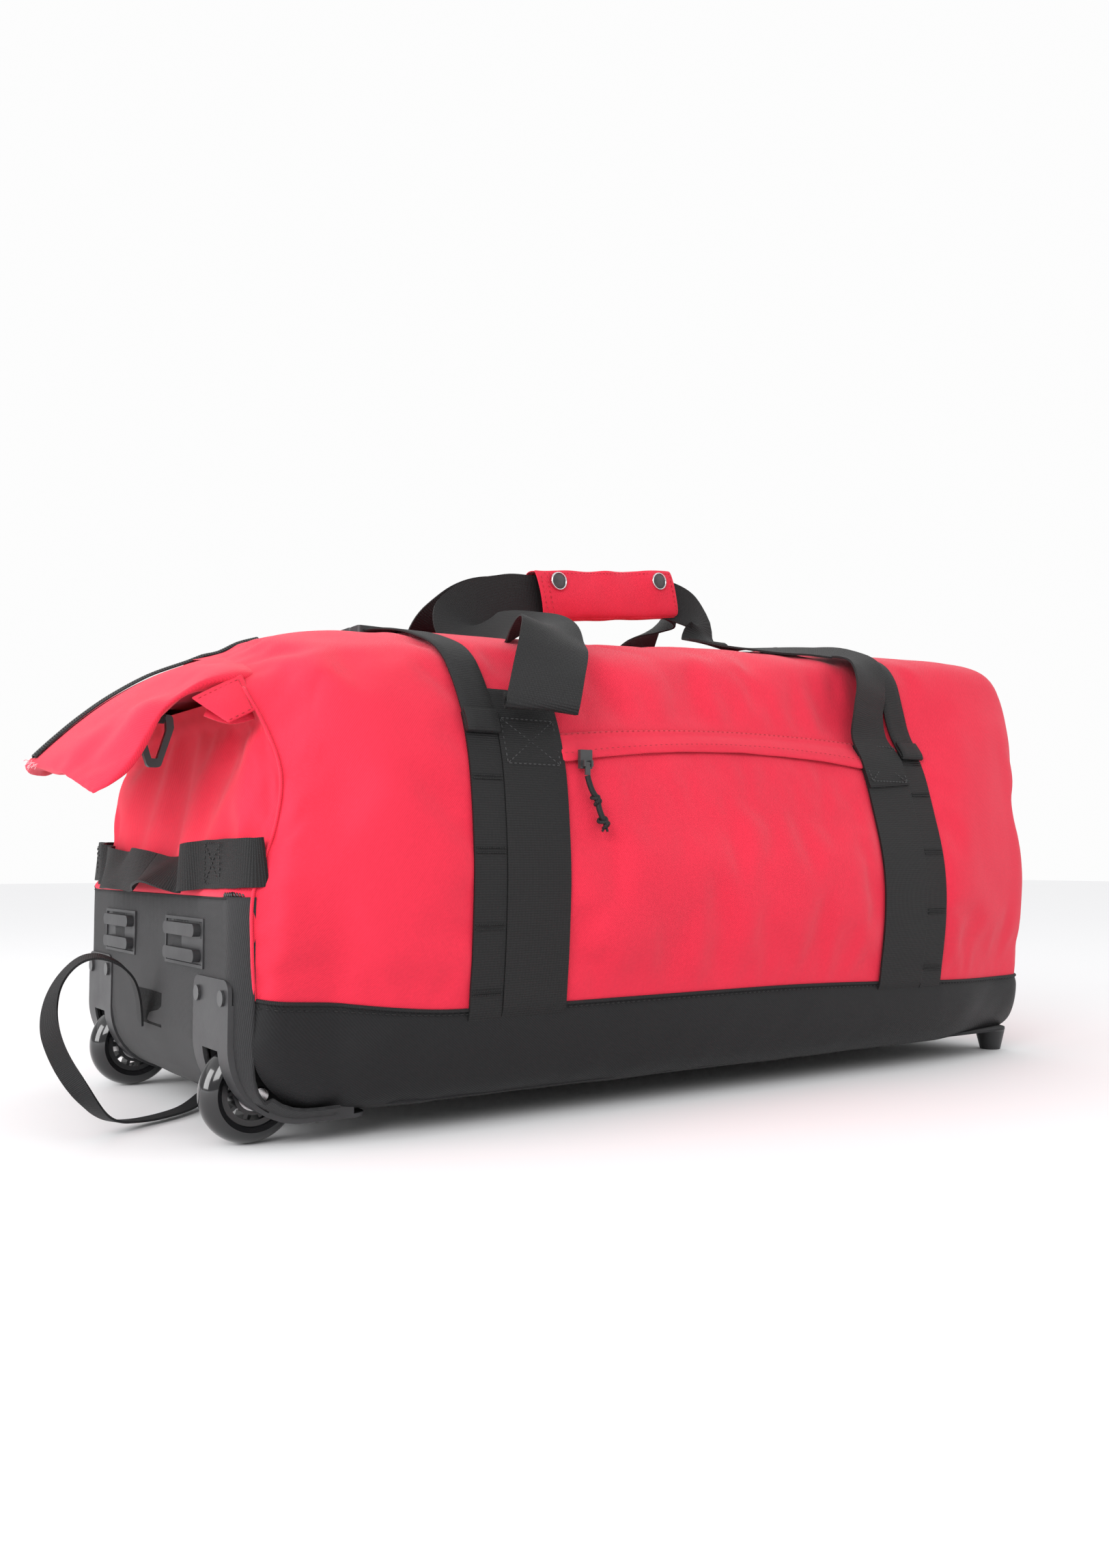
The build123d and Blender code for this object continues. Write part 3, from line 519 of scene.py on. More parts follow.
def half_width(t, outer):
    swell = 5 * smooth(60, 160, t) * (1 - smooth(600, 700, t))
    return outer - 3 + swell - 14 * (1 - smooth(20, 95, t)) - 13 * smooth(640, 752, t)


def station(t, outer):
    """Control points of one cross-section."""
    w, top = half_width(t, outer), crest(t)
    box = smooth(560, 725, t)                   # the foot end is fuller at its shoulders
    lean = smooth(199, 480, t) * (1 - smooth(600, 700, t))      # how far the upper wall leans in
    return [Vector((t, y, z)) for y, z in (
        (w - 2 + 2 * lean, seam_z(t)), (w + 2.5 + 5 * lean, 122), (w + 4.5 + 3 * lean, 170),
        (w + 0.5 - 5 * lean, 220 + 6 * box), (w - 7 - 8 * lean + 3 * box, 252 + 10 * box),
        (w - 21 - 11 * lean + 12 * box, 283 + 16 * box), (135 - 3 * lean + 8 * box, top - 31 + 3 * box),
        (LIP_HINGE, top - 13 + 2 * box), (45, top - 4.5), (4 * (1 - smooth(692, 706, t)), top))]


def end_seam(outer):
    """The upright seam where the front or back wall meets the wheel end."""
    d = outer - FRONT_Y
    return [Vector((t, y + d * 0.5, z)) for t, y, z in (
        (14, 163, 91), (11.5, 164, 122), (12.5, 163, 156), (27, 158.5, 194), (32.5, 153, 226), (28, 141, 254),
        (18, 126, 282), (24, 92, 299), (26, 45, 310), (25, 4, 316))]


def end_corner(outer):
    """Just round the corner from that seam."""
    d = outer - FRONT_Y
    return [Vector((t, y + d * 0.7, z)) for t, y, z in (
        (27, 170, 89), (27, 172, 122), (29, 171, 160), (35, 167, 196), (42, 161, 230), (45, 151, 262),
        (44, 128, 294), (45, 90, 309), (46, 45, 318), (47, 4, 323))]


FOOT_ROUND = 26.0       # the foot end turns over on this radius


def foot_ring(k, outer):
    """Rings that close the foot end: k from 0, where it starts to turn, to 1, its middle."""
    t0 = LENGTH - FOOT_ROUND - 2
    ring = station(t0, outer)
    turn = min(k / 0.3, 1.0)
    inset = FOOT_ROUND * (1 - cos(pi / 2 * turn)) / 165 if k < 0.3 else FOOT_ROUND / 165 + (k - 0.3) / 0.7
    inset = min(inset, 1.0)
    t = t0 + FOOT_ROUND * sin(pi / 2 * turn) + (3.0 * sin(pi * min(max((k - 0.3) / 0.7, 0), 1)))
    low = seam_z(t0)
    return [Vector((t, p.y * (1 - inset), low + (p.z - low) * (1 - inset))) for p in ring]


STATIONS = [75, 100, 130, 160, 199, 240, 280, 330, 380, 430, 480, 520, 556, 593, 620, 650, 690, 712]
FOOT_KS = (0.0, 0.1, 0.2, 0.3, 0.5, 0.75, 1.0)


def skin_net(outer):
    """Stations of control points from the wheel end to the middle of the foot end, each seam to zip."""
    net = [end_seam(outer), end_corner(outer), station(60, outer)]
    net += [station(t, outer) for t in STATIONS]
    return net + [foot_ring(k, outer) for k in FOOT_KS]


SEAM_TO_ZIP = 9         # spans of a station, from the base seam to the zip


def world(p, side):
    return Vector((X0 + p.x * MM, side * p.y * MM, p.z * MM))


def skin_point(t, s, side):
    """A point of the skin between the end corners, with s counted in control points."""
    outer = FRONT_Y if side < 0 else BACK_Y
    return world(curve_point(station(t, outer), s), side)


def skin_normal(t, s, side):
    a = skin_point(t + 1, s, side) - skin_point(t - 1, s, side)
    b = skin_point(t, min(s + 0.05, SEAM_TO_ZIP), side) - skin_point(t, max(s - 0.05, 0), side)
    n = a.cross(b).normalized()
    return n if n.y * side > 0 or n.z > 0.5 else -n


def off_skin(t, s, side, lift):
    """A point lift mm off the skin."""
    return skin_point(t, s, side) + skin_normal(t, s, side) * lift * MM


CELL = 0.0085


def skin_rows(outer, side):
    """The control net filled in to cells of about CELL, as rows along the bag."""
    net = skin_net(outer)
    us = spread([max((b[2] - a[2]).length, (b[SEAM_TO_ZIP] - a[SEAM_TO_ZIP]).length) * MM
                 for a, b in zip(net, net[1:])], CELL)
    ring = net[10]
    ss = spread([(b - a).length * MM for a, b in zip(ring, ring[1:])], CELL)
    return filled(net, us, ss, side), ss


def filled(net, us, ss, side):
    """Rows of points on a control net, at parameters us along the bag and ss round it."""
    columns = [[curve_point(row, u) for row in zip(*net)] for u in us]
    return [[world(curve_point(c, s), side) for c in columns] for s in ss]


def wrinkle(p, size, seed):
    """Smooth noise from -1 to 1."""
    return noise.noise(Vector((p.x / size + seed, p.y / size, p.z / size)))


def push_out(obj, held, height, folds):
    """Moves the cloth along its normals by height mm times folds(point), fading towards where it is held."""
    obj.data.update()
    normals = [v.normal.copy() for v in obj.data.vertices]
    for v, n in zip(obj.data.vertices, normals):
        v.co = v.co + n * height * MM * folds(v.co) * (1 - held[v.index])


def ruffle(obj, held, height, seed=0.0):
    """Small folds pushed into the cloth."""
    def folds(p):
        a = wrinkle(Vector((p.x + 0.7 * p.z, p.y, p.z - 0.5 * p.x)), 0.045, seed)
        b = wrinkle(Vector((p.x * 2.2, p.y, p.z * 0.8)), 0.05, seed + 7)
        return 0.6 * a + 0.4 * b

    push_out(obj, held, height, folds)


CLOTH = {"quality": 6, "mass": 0.25, "tension_stiffness": 14, "compression_stiffness": 14, "shear_stiffness": 6,
         "bending_stiffness": 0.6, "tension_damping": 8, "compression_damping": 8, "shear_damping": 8,
         "air_damping": 3, "pin_stiffness": 1}


def simulate(obj, held, frames, grow, pressure, cap, top=1.0):
    """Lets the cloth settle into its own folds: it is cut a little larger than the shape it is held to.

    No point moves further than cap mm, or top times that on the bag's top.
    """
    group = obj.vertex_groups.new(name="held")
    for i, weight in enumerate(held):
        group.add([i], weight, "REPLACE")
    start = [v.co.copy() for v in obj.data.vertices]
    cloth = obj.modifiers.new("cloth", "CLOTH")
    s = cloth.settings
    for key, value in CLOTH.items():
        setattr(s, key, value)
    s.vertex_group_mass = "held"
    s.shrink_min = -grow
    s.use_pressure = True
    s.uniform_pressure_force = pressure
    s.effector_weights.gravity = 0
    cloth.collision_settings.use_collision = False
    cloth.point_cache.frame_start, cloth.point_cache.frame_end = 1, frames
    for f in range(1, frames + 1):
        scene.frame_set(f)
    apply_modifiers(obj)
    scene.frame_set(1)
    for v, p in zip(obj.data.vertices, start):
        move = v.co - p
        limit = cap * MM * (1 + (top - 1) * smooth(0.285, 0.325, p.z))
        if move.length > limit:
            v.co = p + move.normalized() * limit
    obj.vertex_groups.clear()


def vertex_uv(mesh):
    """The weave's UV at every vertex."""
    layer = mesh.uv_layers["weave"].data
    found = {loop.vertex_index: tuple(layer[loop.index].uv) for loop in mesh.loops}
    return [found.get(i, (0.0, 0.0)) for i in range(len(mesh.vertices))]


def split(obj, names, which):
    """Cuts a mesh into named pieces by face, keeping the whole mesh's normals across the cuts."""
    mesh = obj.data
    mesh.update()
    normals, uv = [v.normal.copy() for v in mesh.vertices], vertex_uv(mesh)
    made = {}
    for name in names:
        faces = [tuple(p.vertices) for p in mesh.polygons if which(p.center) == name]
        used = list(dict.fromkeys(v for face in faces for v in face))
        place = {v: i for i, v in enumerate(used)}
        piece = new_mesh(name, [mesh.vertices[v].co.copy() for v in used],
                         [tuple(place[v] for v in face) for face in faces], mesh.materials[0], [uv[v] for v in used])
        piece.data.normals_split_custom_set_from_vertices([normals[v] for v in used])
        made[name] = piece
    bpy.data.objects.remove(obj)
    return made


def pocket_levels(t):
    """Heights of the flap's lower edge and of the seam above it: both arch up in the middle."""
    f = (t - POCKET[0]) / (POCKET[1] - POCKET[0])
    arch = sin(pi * min(max(f, 0), 1)) ** 0.8
    return 243 + 8 * f + 9.5 * arch, 261 + 10 * f + 6 * arch


STRAP_TOP = 5.3         # parameter of the skin above which only the narrow straps go on


def by_strap(t, wide, thin):
    """Whether a place lies within wide mm of a wide strap's middle, or thin mm of a narrow one's."""
    return any(abs(t - m) < wide for m in WIDE) or any(abs(t - m) < thin for m in THIN)


def skin_side(outer, side):
    """One half of the coloured skin, from the base seam to the zip."""
    rows, ss = skin_rows(outer, side)
    obj = grid("skin", rows, M["red"], flip=side > 0)
    held = []
    for i, (s, row) in enumerate(zip(ss, rows)):
        for j, p in enumerate(row):
            t, z = (p.x - X0) / MM, p.z / MM
            weight = 1 - min(min(i, len(ss) - 1 - i, j) / 3, 1)
            if s < STRAP_TOP and by_strap(t, 28, 14):
                weight = 1
            elif s >= STRAP_TOP and by_strap(t, 0, 10):
                weight = max(weight, 0.6)
            if side < 0 and WIDE[0] < t < WIDE[1]:
                low, high = pocket_levels(t)
                if low - 9 < z < high + 7:
                    weight = 1
                elif low - 52 < z < low:
                    weight = max(weight, 0.5)
            held.append(max(weight, 0.02))
    ruffle(obj, [min(h * 1.2, 1) for h in held], 2.4, 3.0 if side < 0 else 11.0)
    simulate(obj, held, 22, 0.03, 0.6, 7.0, top=0.4)
    return obj


def ride(obj, body):
    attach(obj, body)
    return obj


def make_skin():
    for name, outer, side in HALVES:
        obj = skin_side(outer, side)
        subdivide(obj)

        def which(c, side=side, name=name):
            t, y = (c.x - X0) / MM, side * c.y / MM
            on_top = c.z / MM >= crest(t) - 34 and y <= 126
            return f"mouth_{name}" if on_top and MOUTH[0] <= t <= MOUTH[1] else f"{name}_skin"

        pieces = split(obj, (f"{name}_skin", f"mouth_{name}"), which)
        wall = ride(pieces[f"{name}_skin"], "bag")
        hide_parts(f"{name}_panel")
        lip = pieces[f"mouth_{name}"]
        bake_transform(lip)
        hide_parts(f"mouth_lip_{name}")
        if side < 0:
            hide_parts("top_panels", "foot_end_panel")


# ---- cords first: the pull strap and the pocket's pull cord ----
def nurbs(name, points, material, depth=0.0):
    """A round cord along a NURBS curve."""
    data = bpy.data.curves.new(name, "CURVE")
    data.dimensions = "3D"
    data.resolution_u = 10
    data.use_fill_caps = True
    spline = data.splines.new("NURBS")
    spline.points.add(len(points) - 1)
    for p, q in zip(spline.points, points):
        p.co = (*q, 1)
    spline.order_u = 3
    spline.use_endpoint_u = True
    data.bevel_depth, data.bevel_resolution = depth, 3
    data.materials.append(material)
    obj = bpy.data.objects.new(name, data)
    scene.collection.objects.link(obj)
    return obj


def nurbs_line(points):
    """Points along the NURBS curve through that route."""
    bare = nurbs("bare", points, M["cord"])
    bare.data.use_fill_caps = False
    mesh = bpy.data.meshes.new_from_object(bare)
    line = [v.co.copy() for v in mesh.vertices]
    bpy.data.meshes.remove(mesh)
    bpy.data.objects.remove(bare)
    return line


def make_pull_strap():
    """Webbing loop at the wheel end: one end on the hook patch, the other sewn under the bag."""
    route = ((-4, 4, 63, 0.1, 1, -0.1), (-9, -9, 86, 0.1, 1, 0), (-24, -21, 106, 0.25, 1, 0.1),
             (-47, -18, 113, 0.2, 1, 0.3), (-64, -10, 94, -0.1, 1, 0.3), (-73, -28, 71, -0.5, 0.9, 0.2),
             (-72, -56, 51, -0.8, 0.6, 0.2), (-59, -69, 28, -0.8, 0.5, 0.1), (-42, -55, 9, -0.6, 0.7, 0.1),
             (-18, -38, 3.3, -0.5, 0.8, 0), (8, -26, 3.2, -0.5, 0.8, 0), (31, -5, 3.4, -0.6, 0.8, 0),
             (50, 19, 8, -0.6, 0.8, 0))
    line = nurbs_line([at(*p[:3]) for p in route])
    across_points = [Vector(p[3:]).normalized() for p in route]
    last = len(line) - 1
    sides = [curve_point(across_points, i / last * (len(route) - 1)) for i in range(len(line))]
    strap = band("pull_strap_webbing", line, sides, [6.0 * MM] * len(line), 1.5, 4, M["tape"], smooth=False)
    ride(strap, "bag")
    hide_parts("pull_strap")


def make_pocket_cord():
    """Knotted cord on the pocket's slider."""
    low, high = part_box("pocket_tab")
    start = Vector(((low.x + high.x) / 2, (low.y + high.y) / 2, low.z - 0.5 * MM))
    route = ((0, 0, 0), (1.2, -1.6, -8.5), (6.4, -2.8, -16), (6.8, -4.6, -25), (11, -5, -32))
    points = [start + Vector(step) * MM for step in route]
    cord = nurbs("pocket_pull_cord", points, M["cord"], 0.002)
    line = nurbs_line(points)
    ride(cord, "pocket_pull")
    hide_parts("pocket_cord")
    knot = make_knot(line)


def make_knot(line):
    """Two overhand knots in the cord, one half way and one at its end, with frayed tips."""
    objs = []
    for where, size in ((len(line) // 2, 3.8), (len(line) - 1, 4.3)):
        way = heading(line, where)
        side = way.cross(Vector((1, 0, 0))).normalized()
        other = way.cross(side)
        loop = []
        for i in range(25):
            a = 2 * pi * i / 24
            r = (1 + 0.35 * cos(1.5 * a)) * size * 0.62 * MM
            loop.append(line[where] + side * r * cos(2 * a) + other * r * sin(2 * a)
                        + way * size * MM * 0.8 * sin(a))
        objs.append(tube(f"knot_{where}", loop, 1.25 * MM, M["cord"], 8, 0.0012))
    for i, dx in enumerate((-1.6, 1.4)):
        tail = [line[-1] + Vector(d) * MM for d in ((0, 0, 0), (dx * 0.6, -0.3, -3.0), (dx * 1.5, -0.2, -6.0))]
        objs.append(tube(f"knot_tail_{i}", tail, 0.9 * MM, M["cord"], 6, 0.001))
    knot = join(objs, "cord_knots")
    ride(knot, "pocket_pull")
    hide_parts("cord_knot")
    return knot


def join(objs, name):
    """Joins meshes into one piece."""
    verts, faces, uv, materials, marks = [], [], [], [], []
    for obj in objs:
        base, mesh = len(verts), obj.data
        verts += [obj.matrix_world @ v.co for v in mesh.vertices]
        uv += vertex_uv(mesh)
        materials += [m for m in mesh.materials if m not in materials]
        for polygon in mesh.polygons:
            faces.append(tuple(base + i for i in polygon.vertices))
            marks.append((materials.index(mesh.materials[polygon.material_index]), polygon.use_smooth))
    for obj in objs:
        bpy.data.objects.remove(obj)
    made = new_mesh(name, verts, faces, materials[0], uv)
    for material in materials[1:]:
        made.data.materials.append(material)
    for polygon, (index, shade) in zip(made.data.polygons, marks):
        polygon.material_index, polygon.use_smooth = index, shade
    return made


make_pull_strap()
make_pocket_cord()
make_skin()


# ---- black base ----
# Section of the base as (distance inward from the seam, height), with None for the seam's own height, and the places
# along the bag of the first stations' points, which sweep back round the wheels.
BASE_PROFILE = ((0, None), (-1.5, 60), (0.5, 42), (8, 27), (26, 17.8), (60, 17.2))
BASE_SWEEP = ((14, 12, 20, 38, 58, 69, 69), (27, 26, 33, 48, 64, 76, 76), (60, 60, 62, 66, 74, 84, 84))


def base_net(outer):
    """Control points of one half of the base: the same stations as the skin, from its seam down and under."""
    net = []
    ring_from = 3 + len(STATIONS)
    for i, row in enumerate(skin_net(outer)):
        p = row[0]
        turn = min(FOOT_KS[i - ring_from] / 0.3, 1.0) * pi / 2 if i >= ring_from else 0
        inward = Vector((-sin(turn), -cos(turn), 0))
        points = []
        for inset, z in BASE_PROFILE:
            q = p + inward * inset
            points.append(Vector((q.x, max(q.y, 0), p.z if z is None else z)))
        points.append(Vector((min(p.x, LENGTH - 150), 0, UNDERSIDE)))
        if i < len(BASE_SWEEP):
            for q, t in zip(points, BASE_SWEEP[i]):
                q.x = t
        net.append(points)
    return net


def base_point(t, s, side):
    """A point of the base between its ends, s counted in control points from the seam down."""
    outer = FRONT_Y if side < 0 else BACK_Y
    p = station(t, outer)[0]
    points = [Vector((t, p.y - inset, p.z if z is None else z)) for inset, z in BASE_PROFILE]
    points.append(Vector((t, 0, UNDERSIDE)))
    return world(curve_point(points, s), side)


def make_base():
    ss = [0, 0.2, 0.4, 0.6, 0.8, 1, 1.33, 1.67, 2, 2.33, 2.67, 3, 3.33, 3.67, 4, 4.5, 5, 6]
    for name, outer, side in HALVES:
        net = base_net(outer)
        us = spread([(b[0] - a[0]).length * MM for a, b in zip(net, net[1:])], 0.008)
        rows = filled(net, us, ss, side)
        obj = grid(f"base_{name}", rows, M["base"], flip=side < 0)
        held = []
        for i, (s, row) in enumerate(zip(ss, rows)):
            for j, p in enumerate(row):
                sewn = s > 4 or by_strap((p.x - X0) / MM, 23, 11)
                held.append(1 if sewn else max(1 - min(min(i, j) / 2, 1), 0.02))
        slant_ruffle(obj, held, 2.6)
        simulate(obj, held, 14, 0.03, 0.3, 6.0)
        subdivide(obj)
        ride(obj, "bag")
        if side < 0:
            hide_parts("base_walls", "bottom_panel")


def slant_ruffle(obj, held, height):
    """Folds that run up and towards the foot end, as in cloth pulled down towards the wheel."""
    def folds(p):
        across, along = p.x * 0.62 - p.z * 0.78, p.x * 0.78 + p.z * 0.62
        a = noise.noise(Vector((across / 0.013, along / 0.06, p.y / 0.06)))
        b = noise.noise(Vector((across / 0.028, along / 0.11, p.y / 0.06 + 5)))
        return (0.45 + 0.55 * (1 - smooth(60, 330, (p.x - X0) / MM))) * (0.5 * a + 0.5 * b)

    push_out(obj, held, height, folds)


def make_base_seam():
    """The seam between base and walls: the base's rolled edge with a row of stitching below it."""
    pieces, lines = [], []
    for _, outer, side in HALVES:
        out = Vector((0, side * 0.9 * MM, 0))
        edge = [world(row[0], side) + out * 0.6 for row in skin_net(outer)]
        pieces.append(tube(f"base_roll_{side}", edge, 0.0013, M["tape"], 8, 0.006))
        lines.append([world(curve_point(row, 0.14), side) + out for row in base_net(outer)])
    ride(join(pieces, "base_seam_roll"), "bag")
    ride(stitches("base_seam_thread", lines, M["thread"], 2.8, 1.4, 0.4), "bag")


# ---- wheel end: the stiff black panel and the soft wall above it ----
def make_end_panel():
    """Black cloth over the stiff end, turned round both corners and under the bag, with the wheels' slots."""
    wheel = -WHEEL_NEAR.y / MM
    slot = (wheel - 13.5, wheel + 13.5)
    half = [3.0 * k for k in range(36)] + [slot[0], wheel, slot[1]]
    half += [141.5, 144.5, 147.5, 150, 152.5, 155, 157, 159, 161, 162.5, 163.5]
    ys = [-y for y in reversed(half[1:])] + half
    path = [(2.9, z) for z in (152, 148, 144, 139, 134, 128, 122, 116, 110, 104, 98, 92, 86, 80, 74, 69, 64)]
    path += [(50 - 46.6 * cos(radians(a)), 64 - 46.6 * sin(radians(a))) for a in (6, 15, 25, 35, 45, 55, 65, 75, 85)]
    path += [(56, 17.3), (69, 17.3)]
    rows = []
    for t, z in path:
        row = []
        for y in ys:
            over = max(abs(y) - 148, 0)         # how far round the corner
            back = over ** 2 * 0.046 * (1 if z > 60 else max((z - 17) / 43, 0))
            bulge = 0.8 * noise.noise(Vector((y / 40, z / 30, 2.5))) if abs(y) < 90 and 20 < z < 146 else 0
            bulge -= 0.8 * smooth(112, 150, z) * abs(noise.noise(Vector((y / 6.5, z / 60, 9.5)))) * (abs(y) < 152)
            row.append(at(t + back + max(bulge, -0.3), y, z + (over ** 2 * 0.03 if z < 30 else 0)))
        rows.append(row)
    whole = grid("end_panel_cloth", rows, M["end"], flip=True)

    def in_slot(c):
        return slot[0] < abs(c.y) / MM < slot[1] and c.z / MM < 59.5 and (c.x - X0) / MM < 60

    faces = [tuple(p.vertices) for p in whole.data.polygons if not in_slot(p.center)]
    bpy.data.objects.remove(whole)
    obj = new_mesh("end_panel_cloth", [p for row in rows for p in row], faces, M["end"], grid_uv(rows))
    thicken(obj, 0.0018, -1.0)
    ride(obj, "bag")
    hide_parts("wheel_end_panel")


def end_wall_rows():
    """The soft wall of the wheel end, from the panel's top edge up under the folded-out top."""
    front, back = end_seam(FRONT_Y), end_seam(BACK_Y)
    half = (0.18, 0.36, 0.5, 0.62, 0.72, 0.8, 0.86, 0.9, 0.93, 0.96, 0.985, 1)
    fs = [-f for f in reversed(half)] + [0, *half]
    # seam parameter, t of the face between the corners
    levels = ((1.80, 5.0), (1.86, 0.8), (1.92, -0.8), (1.98, -0.4), (2.05, 2.5), (2.14, 5.0), (2.4, 6.0), (2.8, 8.0),
              (3.2, 10.5), (3.6, 13.0), (4.0, 15.5), (4.4, 18.0), (4.8, 21.0), (5.2, 23.5), (5.6, 26.0), (6.0, 29.0))
    rows = []
    for s, face in levels:
        a, b = curve_point(front, s), curve_point(back, s)
        row = []
        for f in fs:
            edge = a if f < 0 else b
            share = min((1 - abs(f)) / 0.14, 1)
            row.append(at(edge.x + (face - edge.x) * sin(share * pi / 2) ** 0.9, f * edge.y, edge.z))
        rows.append(row)
    return rows


def make_end_wall():
    rows = end_wall_rows()
    obj = grid("end_wall", rows, M["red"])
    last_row, last = len(rows) - 1, len(rows[0]) - 1
    held = []
    for i in range(last_row + 1):
        for j in range(last + 1):
            weight = 1 if i < 6 else 1 - min(min(j, last - j, last_row - i) / 2, 1)
            held.append(max(weight, 0.05))
    obj = subdivide(obj)
    held = spread_weights(obj, rows, held)
    ruffle(obj, held, 3.0, 21.0)
    simulate(obj, held, 16, 0.03, 0.4, 7.0)
    subdivide(obj)
    ride(obj, "bag")
    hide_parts("wheel_end_upper")


def spread_weights(obj, rows, held):
    """Weights for a subdivided grid, taken from the nearest point of the grid it came from."""
    points = [p for row in rows for p in row]
    tree = kdtree.KDTree(len(points))
    for i, p in enumerate(points):
        tree.insert(p, i)
    tree.balance()
    return [held[tree.find(v.co)[1]] for v in obj.data.vertices]


# The folded-out top end, section by section from its root: middle line (t, z), near and far edges (t, y, z),
# half thickness.
BEAK = (((46, 318), (40, -106, 299), (54, 106, 303), 12), ((24, 314), (17, -118, 295), (34, 117, 301), 10),
        ((-4, 301.5), (-10, -121, 285), (10, 120, 293), 8), ((-30, 285), (-30, -121, 267), (-11, 121, 279), 8.5),
        ((-50, 269), (-42, -121, 250), (-27, 121, 268), 11), ((-64, 256), (-53, -121, 236), (-38, 120, 259), 12),
        ((-74, 246), (-62, -120, 225), (-46, 119, 251), 8), ((-80, 239.5), (-69, -117, 216), (-51, 115, 246), 3))


def beak_point(u, angle):
    """A point of the folded-out end: u along its sections, angle round them from the near side."""
    ridge = curve_point([Vector((t, 0, z)) for (t, z), _, _, _ in BEAK], u)
    near = curve_point([Vector(p) for _, p, _, _ in BEAK], u)
    far = curve_point([Vector(p) for _, _, p, _ in BEAK], u)
    half = curve_point([Vector((h, 0, 0)) for _, _, _, h in BEAK], u).x
    c, s = cos(angle), sin(angle)
    across = abs(c) ** 0.55
    f = (abs(s) ** 0.7) * (1 if s > 0 else -1)
    edge = near if c > 0 else far
    p = ridge.lerp(edge, across ** 1.75)
    p.y = edge.y * across
    slack = 1.8 * sin(p.y / 13 + 2 * u) * smooth(2.5, 5, u) * (0.5 - 0.5 * f) * (1 - across ** 4)
    out = Vector((-0.45, 0, 0.89))
    p += out * (half * (f - 1) * (1 - 0.35 * across ** 3) + slack)
    if c > 0:
        near_ring = ((p.x + 40) / 15) ** 2 + ((p.y + 106) / 15) ** 2
        p += Vector((-0.3, -0.35, 0.89)) * (8.5 if s > 0 else 3.0) * exp(-near_ring)
    return at(p.x, p.y, p.z)


def make_beak():
    around, steps = 64, 3 * (len(BEAK) - 1)
    rows = [[beak_point(i / 3, 2 * pi * j / around) for j in range(around)] for i in range(steps + 1)]
    last = rows[-1]
    for shrink, out in ((0.55, 1.2), (0.1, 1.8)):       # the tip is sewn flat
        row = []
        for j, p in enumerate(last):
            middle = (p + last[-j % around]) / 2
            row.append(middle + (p - middle) * shrink + Vector((-out, 0, -0.6 * out)) * MM)
        rows.append(row)
    uv = [(p.y, i * 0.006) for i, row in enumerate(rows) for p in row]
    faces = tube_faces(len(rows), around, flip=True, caps=False)
    end = (len(rows) - 1) * around
    for j in range(around // 2):
        a, b = (end + j, end + (j + 1) % around)
        c, d = (end + (around - j - 1) % around, end + (around - j) % around)
        faces.append(tuple(dict.fromkeys((a, d, c, b))))
    obj = new_mesh("folded_top_end", [p for row in rows for p in row], faces, M["red"], uv)
    held = []
    for i in range(len(rows)):
        for j in range(around):
            weight = 1 if abs(j - around // 4) < 2 else 1 - min(i / 3, 1)
            held.append(max(weight, 0.5 if i > len(rows) - 5 else 0.05))
    ruffle(obj, held, 2.6, 31.0)
    simulate(obj, held, 16, 0.02, 1.0, 6.0)
    subdivide(obj)
    ride(obj, "bag")
    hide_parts("beak")


def make_gusset():
    """The stitched patch that ties the folded-out end to the corner of the bag, on both sides."""
    corners = ((-14, 121, 273), (4, 139, 257), (23, 135, 267), (19, 119, 291))
    pleats = (((23, 132, 262), (20, 120, 284), (22, 104, 296)), ((8, 131, 256), (12, 117, 279), (20, 96, 293)),
              ((-6, 122, 263), (4, 110, 277), (16, 88, 291)))
    for name, side in (("near", -1), ("far", 1)):
        a, b, c, d = (at(t, side * y, z) for t, y, z in corners)
        out = Vector((-0.45, side * 0.85, -0.1)).normalized()
        rows = []
        for v in (i / 12 for i in range(13)):
            row = []
            for u in (j / 12 for j in range(13)):
                p = a.lerp(d, u).lerp(b.lerp(c, u), v)
                bulge = sin(pi * u) * sin(pi * v) * 3.2 + 1.2 * noise.noise(p * 60)
                row.append(p + out * bulge * MM)
            rows.append(row)
        patch = grid(f"corner_patch_{name}", rows, M["red"], flip=side < 0)
        thicken(patch, 0.0016, 1.0, 1)
        ride(patch, "bag")
        lines = [[p + out * 2.4 * MM for p in line]
                 for line in (rows[1][1:12:5], [r[11] for r in rows[1:12]], rows[11][1:12:5])]
        ride(stitches(f"corner_patch_thread_{name}", lines, M["red_thread"], 2.2, 1.1, 0.3), "bag")
        pleat = [[at(t, side * y, z) for t, y, z in row] for row in pleats]
        inner = subdivide(grid(f"corner_pleat_{name}", pleat, M["red"], flip=side < 0), 2)
        thicken(inner, 0.001, 0)
        ride(inner, "bag")


def make_corner_seams():
    """The rolled seam down each corner of the wheel end."""
    pieces = []
    for _, outer, side in HALVES:
        out = Vector((-0.0006, side * 0.0006, 0))
        seam = [world(curve_point(end_seam(outer), s / 4), side) + out for s in range(25)]
        pieces.append(tube(f"corner_seam_{side}", seam, 0.0011, M["red"], 8, 0.005))
    ride(join(pieces, "corner_seams"), "bag")


